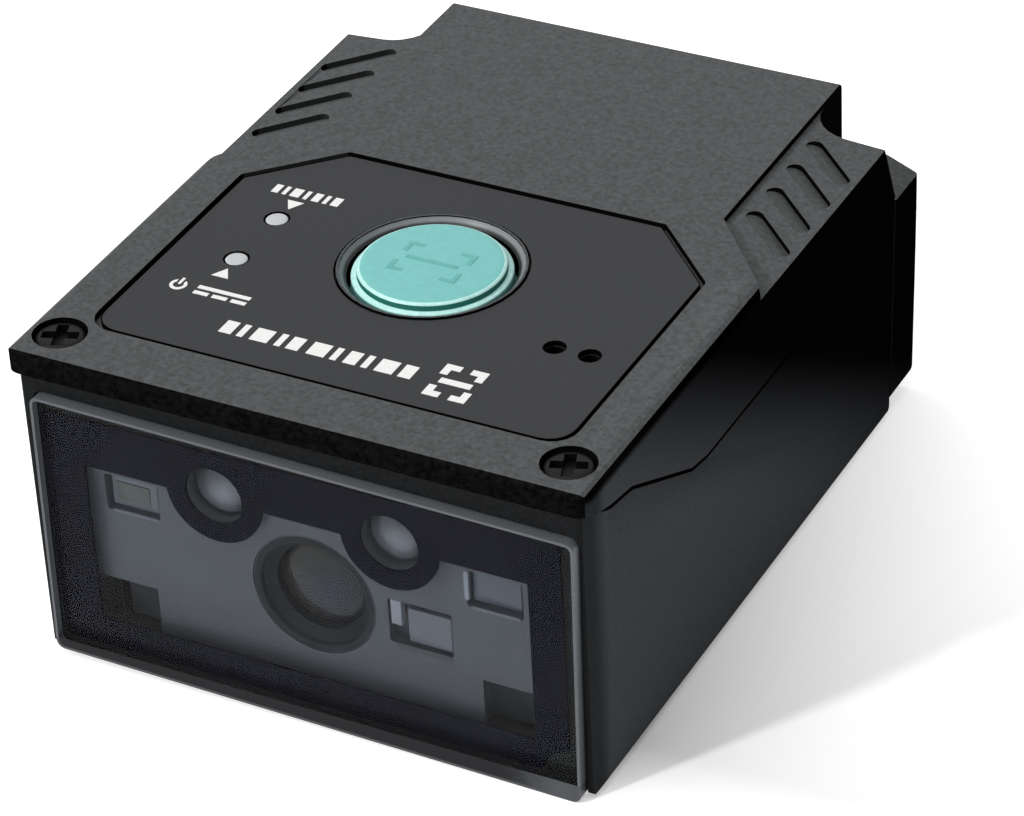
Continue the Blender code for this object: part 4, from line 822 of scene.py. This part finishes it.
class READER_OT_window(bpy.types.Operator):
    """Clear plate and its printed mask"""
    bl_idname = "reader.window"
    bl_label = "Window"

    def execute(self, context):
        clear = clear_acrylic("cast_acrylic", linear("#F4F7FA"))
        # The plate's polished edge carries a painted reflection of the room, a grey line
        edge = matt("acrylic_edge_painted_reflection", linear("#5B5E62"), 0.3, height=0.002, Specular_IOR_Level=0.25)
        # Below the mask the plate is opaque: the floor would show through it as a white strip
        foot = ringed("acrylic_foot", (high("scan_window").x - 1.5 * MM, low("scan_window").y, 0.6 * MM),
                      linear("#505357"), 5 * MM, linear("#1E1F21"), 0.3, Specular_IOR_Level=0.1)
        # The foot's edge: the same painted reflection, a little darker
        line = matt("acrylic_foot_edge_painted_reflection", linear("#4A4C4F"), 0.3, height=0.002, Specular_IOR_Level=0.2)
        plate = tinted(recut("scan_window", "window_plate"), clear)
        edit(plate)
        foremost = low("scan_window").y + 0.02 * MM
        choose(plate, "faces", lambda f: f.normal.y < -0.9 and f.center.y < foremost)
        bpy.ops.mesh.inset(thickness=sizes().plate_edge, depth=0, use_select_inset=True)
        bpy.ops.object.mode_set(mode="OBJECT")
        paint(plate, edge, lambda f: f.select or abs(f.normal.y) < 0.5)
        edit(plate)
        bpy.ops.mesh.select_all(action="SELECT")
        below = low("window_mask").z + 0.25 * MM
        bpy.ops.mesh.bisect(plane_co=(0, 0, below), plane_no=(0, 0, 1))
        bpy.ops.object.mode_set(mode="OBJECT")
        paint(plate, line, lambda f: f.material_index == 1 and f.center.z < below)
        paint(plate, foot, lambda f: f.material_index == 0 and f.center.z < below and f.normal.y < 0.9)
        dress(plate, replaces=["scan_window"])
        ink = matt("mask_ink", linear("#0C0D17"), 0.8, grain=1.5, height=0.0005, spread=0.03,
                   Specular_IOR_Level=0.0)
        dress(tinted(recut("window_mask", "mask_print"), ink), replaces=["window_mask"])
        return {"FINISHED"}


# Scan engine. Each profile is (radius, height) pairs in mm, from the rear to the front

BARREL_PROFILE = ((1.93, 0), (4.4, 0), (4.4, 6.3), (4.46, 6.36), (4.46, 6.55), (4.4, 6.6), (3.98, 6.6),
                  (3.9, 6.52), (3.86, 6.3), (3.7, 6.16), (3.66, 6.1), (3.5, 5.98), (3.46, 5.92),
                  (3.3, 5.8), (3.22, 5.7), (3.22, 3.3), (1.93, 2.3), (1.93, 0))
LENS_PROFILE = ((3.1, 0.9), (3.16, 1.9), (3.0, 2.02), (2.6, 2.15), (2.2, 2.26), (1.6, 2.36),
                (0.9, 2.42), (0.3, 2.45))
LAMP_DOME_PROFILE = ((2.0, 0), (2.0, 1.5), (1.9, 1.69), (1.62, 1.85), (1.18, 1.99), (0.62, 2.07),
                     (0.2, 2.1))
PACKAGE_EASE = 0.04

# Each package's piece name, slot and node, and its plates: centre x and z, width, height, front y,
# depth and finish
# The pale frames and lower bars of the flat lamps and the bright bar at the right lamp's left edge are
# painted highlights along the pockets' edges, besides the packages' ceramic and lead
PACKAGES = (
    ("flood_package_left", "lamp", "flood_lamp_left",
     ((-13.2, 13.3, 3.4, 2.2, -23.36, 0.46, "pale"), (-13.3, 13.35, 2.5, 1.4, -23.44, 0.2, "green"),
      (-13.0, 11.95, 3.5, 0.22, -23.78, 0.1, "pale"))),
    ("flood_package_right", "lamp", "flood_lamp_right",
     ((13.2, 13.3, 3.4, 2.2, -23.36, 0.46, "slate"), (11.2, 13.5, 0.34, 2.2, -23.78, 0.3, "bright"),
      (13.2, 11.9, 3.4, 0.24, -23.78, 0.1, "pale"))),
    ("aimer_package", "lens_glass", "aimer_lens",
     ((6.0, 9.85, 0.75, 1.9, -23.8, 0.6, "bright"), (8.25, 8.9, 3.1, 2.6, -23.5, 0.5, "pale"),
      (7.9, 7.2, 3.9, 0.5, -23.8, 0.3, "dark"))),
)


def barrel_and_lens(grey):
    """The turned barrel, grey only on its outer wall, and a coated lens, blue-black with a brown rim."""
    hub = middle("lens_barrel")
    barrel = drawn("barrel_turned", in_mm(BARREL_PROFILE), sizes().sides, axis="-Y",
                   at=(hub.x, high("lens_barrel").y, hub.z))
    anodised = matt("anodised_barrel", linear("#1A1D22"), 0.6, height=0.003, Specular_IOR_Level=0.15)
    tinted(smooth(barrel), anodised)
    paint(barrel, grey, lambda f: math.hypot(f.center.x - hub.x, f.center.z - hub.z) > 4.3 * MM)
    dress(barrel, replaces=["lens_barrel"])
    lens = drawn("lens_glass", in_mm(LENS_PROFILE), sizes().sides, axis="-Y",
                 at=(hub.x, high("lens").y, hub.z))
    glass = ringed("coated_glass", (hub.x + 0.8 * MM, low("lens").y, hub.z - 0.3 * MM),
                   linear("#1A1E2C"), 3.6 * MM, linear("#211F1D"), 0.2, Specular_IOR_Level=0.25)
    dress(tinted(smooth(lens), glass), replaces=["lens"])


def lamp_dome(side):
    """Frosted epoxy: lightest a little off its centre, over the lamp inside."""
    node = f"lamp_lens_{side}"
    spot = middle(node)
    dome = drawn(f"lamp_dome_{side}", in_mm(LAMP_DOME_PROFILE), 64, axis="-Y",
                 at=(spot.x, high(node).y, spot.z))
    frosted = ringed(f"frosted_epoxy_{side}", (spot.x + 0.35 * MM, low(node).y, spot.z - 0.3 * MM),
                     linear("#666A70"), 2.0 * MM, linear("#33363B"), 0.3, Specular_IOR_Level=0.4)
    dress(tinted(smooth(dome), frosted), replaces=[node])


def flat_packages():
    """The flat lamps and the aiming lamp's lens, each of eased ceramic or metal plates, some of which also
    stand as painted highlights along the pockets' edges.
    """
    finish = {
        "pale": matt("ceramic_and_painted_highlight", linear("#50545B"), 0.4),
        "green": matt("lamp_phosphor", linear("#3B423E"), 0.4),
        "slate": matt("lamp_window_slate", linear("#3C424C"), 0.3),
        "bright": matt("nickel_lead_and_painted_highlight", linear("#70757E"), 0.35),
        "dark": matt("package_foot", linear("#282B30"), 0.5),
    }
    for name, slot, node, plates in PACKAGES:
        parts = [tinted(slab("plate", (wide * MM, deep * MM, tall * MM),
                             (x * MM, (front + deep / 2) * MM, z * MM), PACKAGE_EASE * MM), finish[tone])
                 for x, z, wide, tall, front, deep, tone in plates]
        dress(joined(name, *parts), replaces=[node])


def inner_parts():
    """Finishes of the CAD pieces that the housing hides."""
    coat(matt("matt_black_abs", linear("#1C1D20"), 0.5), "image_sensor", "tact_switch",
         "switch_plunger", "buzzer")
    coat(matt("white_ceramic_lamp", linear("#E8E4D4"), 0.35), "lamp_status", "lamp_power",
         "cable_socket")
    coat(matt("green_solder_mask", linear("#17452F"), 0.35), "main_board", "engine_board")
    coat(matt("polyimide_flex", linear("#8A5A1E"), 0.4), "flex_strip")


class READER_OT_engine(bpy.types.Operator):
    """Scan engine behind the window, and the parts inside"""
    bl_idname = "reader.engine"
    bl_label = "Scan engine"

    def execute(self, context):
        grey = engine_grey("grey_pc_engine", colours().engine, 0.5, 3.0, 8.5)
        dress(tinted(recut("engine_frame", "engine_face"), grey), replaces=["engine_frame"])
        barrel_and_lens(grey)
        for side in PAIR:
            lamp_dome(side)
        flat_packages()
        inner_parts()
        return {"FINISHED"}


# Fittings

SHANK_RADIUS = 0.85
HEAD_HEIGHT = 0.9
CROSS_WIDTH, CROSS_DEPTH = 0.78, 0.6
CROSS_TURNS = (20, 110)
PIPE_PROFILE = ((0.75, 0), (0.75, 1.65), (1.15, 1.65), (1.15, 2.45), (0.75, 2.45), (0.75, 4.38),
                (0.7, 4.43), (0.6, 4.45), (0.2, 4.45))


def cross_screw(name, node, axis, material):
    """A cap screw with a cross recess, its head domed and its shank as long as the CAD one."""
    a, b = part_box(node)
    spot = middle(node)
    upright = axis == "Z"
    radius = (b.x - a.x) / 2
    length = b.z - a.z if upright else b.y - a.y
    shank, neck = SHANK_RADIUS * MM, length - HEAD_HEIGHT * MM
    rings = [(0.5 * MM, 0), (shank, 0.4 * MM), (shank, neck), (radius, neck),
             (radius, length - 0.3 * MM), (radius - 0.08 * MM, length - 0.14 * MM),
             (radius - 0.26 * MM, length - 0.04 * MM), (radius * 0.7, length), (0.3 * MM, length)]
    tip = (spot.x, spot.y, a.z) if upright else (spot.x, a.y, spot.z)
    screw = drawn(name, rings, 64, axis=axis, at=tip)
    wide, deep, long_ = CROSS_WIDTH * MM, CROSS_DEPTH * 2 * MM, radius * 1.45
    for turn in CROSS_TURNS:
        cutter = slab("arm", (wide, long_, deep) if upright else (wide, deep, long_), (0, 0, 0))
        if upright:
            cutter.rotation_euler.z = math.radians(turn)
            cutter.location = (spot.x, spot.y, b.z)
        else:
            cutter.rotation_euler.y = math.radians(turn)
            cutter.location = (spot.x, b.y, spot.z)
        settle(cutter, "arm")
        carve(screw, cutter)
    return dress(tinted(smooth(screw), material), replaces=[node])


class READER_OT_fittings(bpy.types.Operator):
    """Screws, light pipes and inserts"""
    bl_idname = "reader.fittings"
    bl_label = "Fittings"

    def execute(self, context):
        # Black oxide hides the steel's shine, so the heads show only by their cross
        oxide = matt("black_oxide_steel", linear("#0C0C0D"), 0.42, height=0.003, Specular_IOR_Level=0.12)
        for side in PAIR:
            cross_screw(f"cover_cap_screw_{side}", f"cover_screw_{side}", "Z", oxide)
            cross_screw(f"panel_cap_screw_{side}", f"panel_screw_{side}", "Y", oxide)
        zinc = matt("zinc_plated_steel", linear("#B4B6B8"), 0.3, height=0.003, Metallic=1.0)
        coat(zinc, "board_screw_front_left", "board_screw_front_right", "board_screw_rear_left",
             "board_screw_rear_right", "engine_screw_left", "engine_screw_right")
        coat(matt("turned_brass", linear("#C7A15A"), 0.3, height=0.003, Metallic=1.0),
             "thread_insert_left", "thread_insert_right")
        # The pipes' sanded ends are unlit, and so a flat light grey
        frosted = matt("frosted_pipe", linear("#B9BBBD"), 0.45, spread=0.03, Specular_IOR_Level=0.3)
        for lamp in ("status", "power"):
            node = f"light_pipe_{lamp}"
            spot = middle(node)
            pipe = drawn(f"pipe_{lamp}", in_mm(PIPE_PROFILE), 48, at=(spot.x, spot.y, low(node).z))
            dress(tinted(smooth(pipe), frosted), replaces=[node])
        return {"FINISHED"}


class READER_PT_panel(bpy.types.Panel):
    """Lists the reader's pieces in the sidebar"""
    bl_label = "Barcode Reader"
    bl_idname = "READER_PT_panel"
    bl_space_type = "VIEW_3D"
    bl_region_type = "UI"
    bl_category = "Reader"

    def draw(self, context):
        column = self.layout.column()
        for step in STEPS:
            column.operator(step.bl_idname, text=step.bl_label)
        for group in (context.scene.reader_sizes, context.scene.reader_colours):
            box = self.layout.box()
            for name in group.bl_rna.properties.keys():
                if name not in ("rna_type", "name"):
                    box.prop(group, name)


STEPS = (READER_OT_stage, READER_OT_mouldings, READER_OT_prints, READER_OT_button, READER_OT_window,
         READER_OT_engine, READER_OT_fittings)
CLASSES = (ReaderSizes, ReaderColours, *STEPS, READER_PT_panel)


def register():
    for cls in CLASSES:
        bpy.utils.register_class(cls)
    bpy.types.Scene.reader_sizes = PointerProperty(type=ReaderSizes)
    bpy.types.Scene.reader_colours = PointerProperty(type=ReaderColours)


def unregister():
    del bpy.types.Scene.reader_sizes
    del bpy.types.Scene.reader_colours
    for cls in reversed(CLASSES):
        bpy.utils.unregister_class(cls)


def main():
    register()
    bpy.ops.reader.stage()
    bpy.ops.reader.mouldings()
    bpy.ops.reader.prints()
    bpy.ops.reader.button()
    bpy.ops.reader.window()
    bpy.ops.reader.engine()
    bpy.ops.reader.fittings()
    start()


if __name__ == "__main__":
    main()
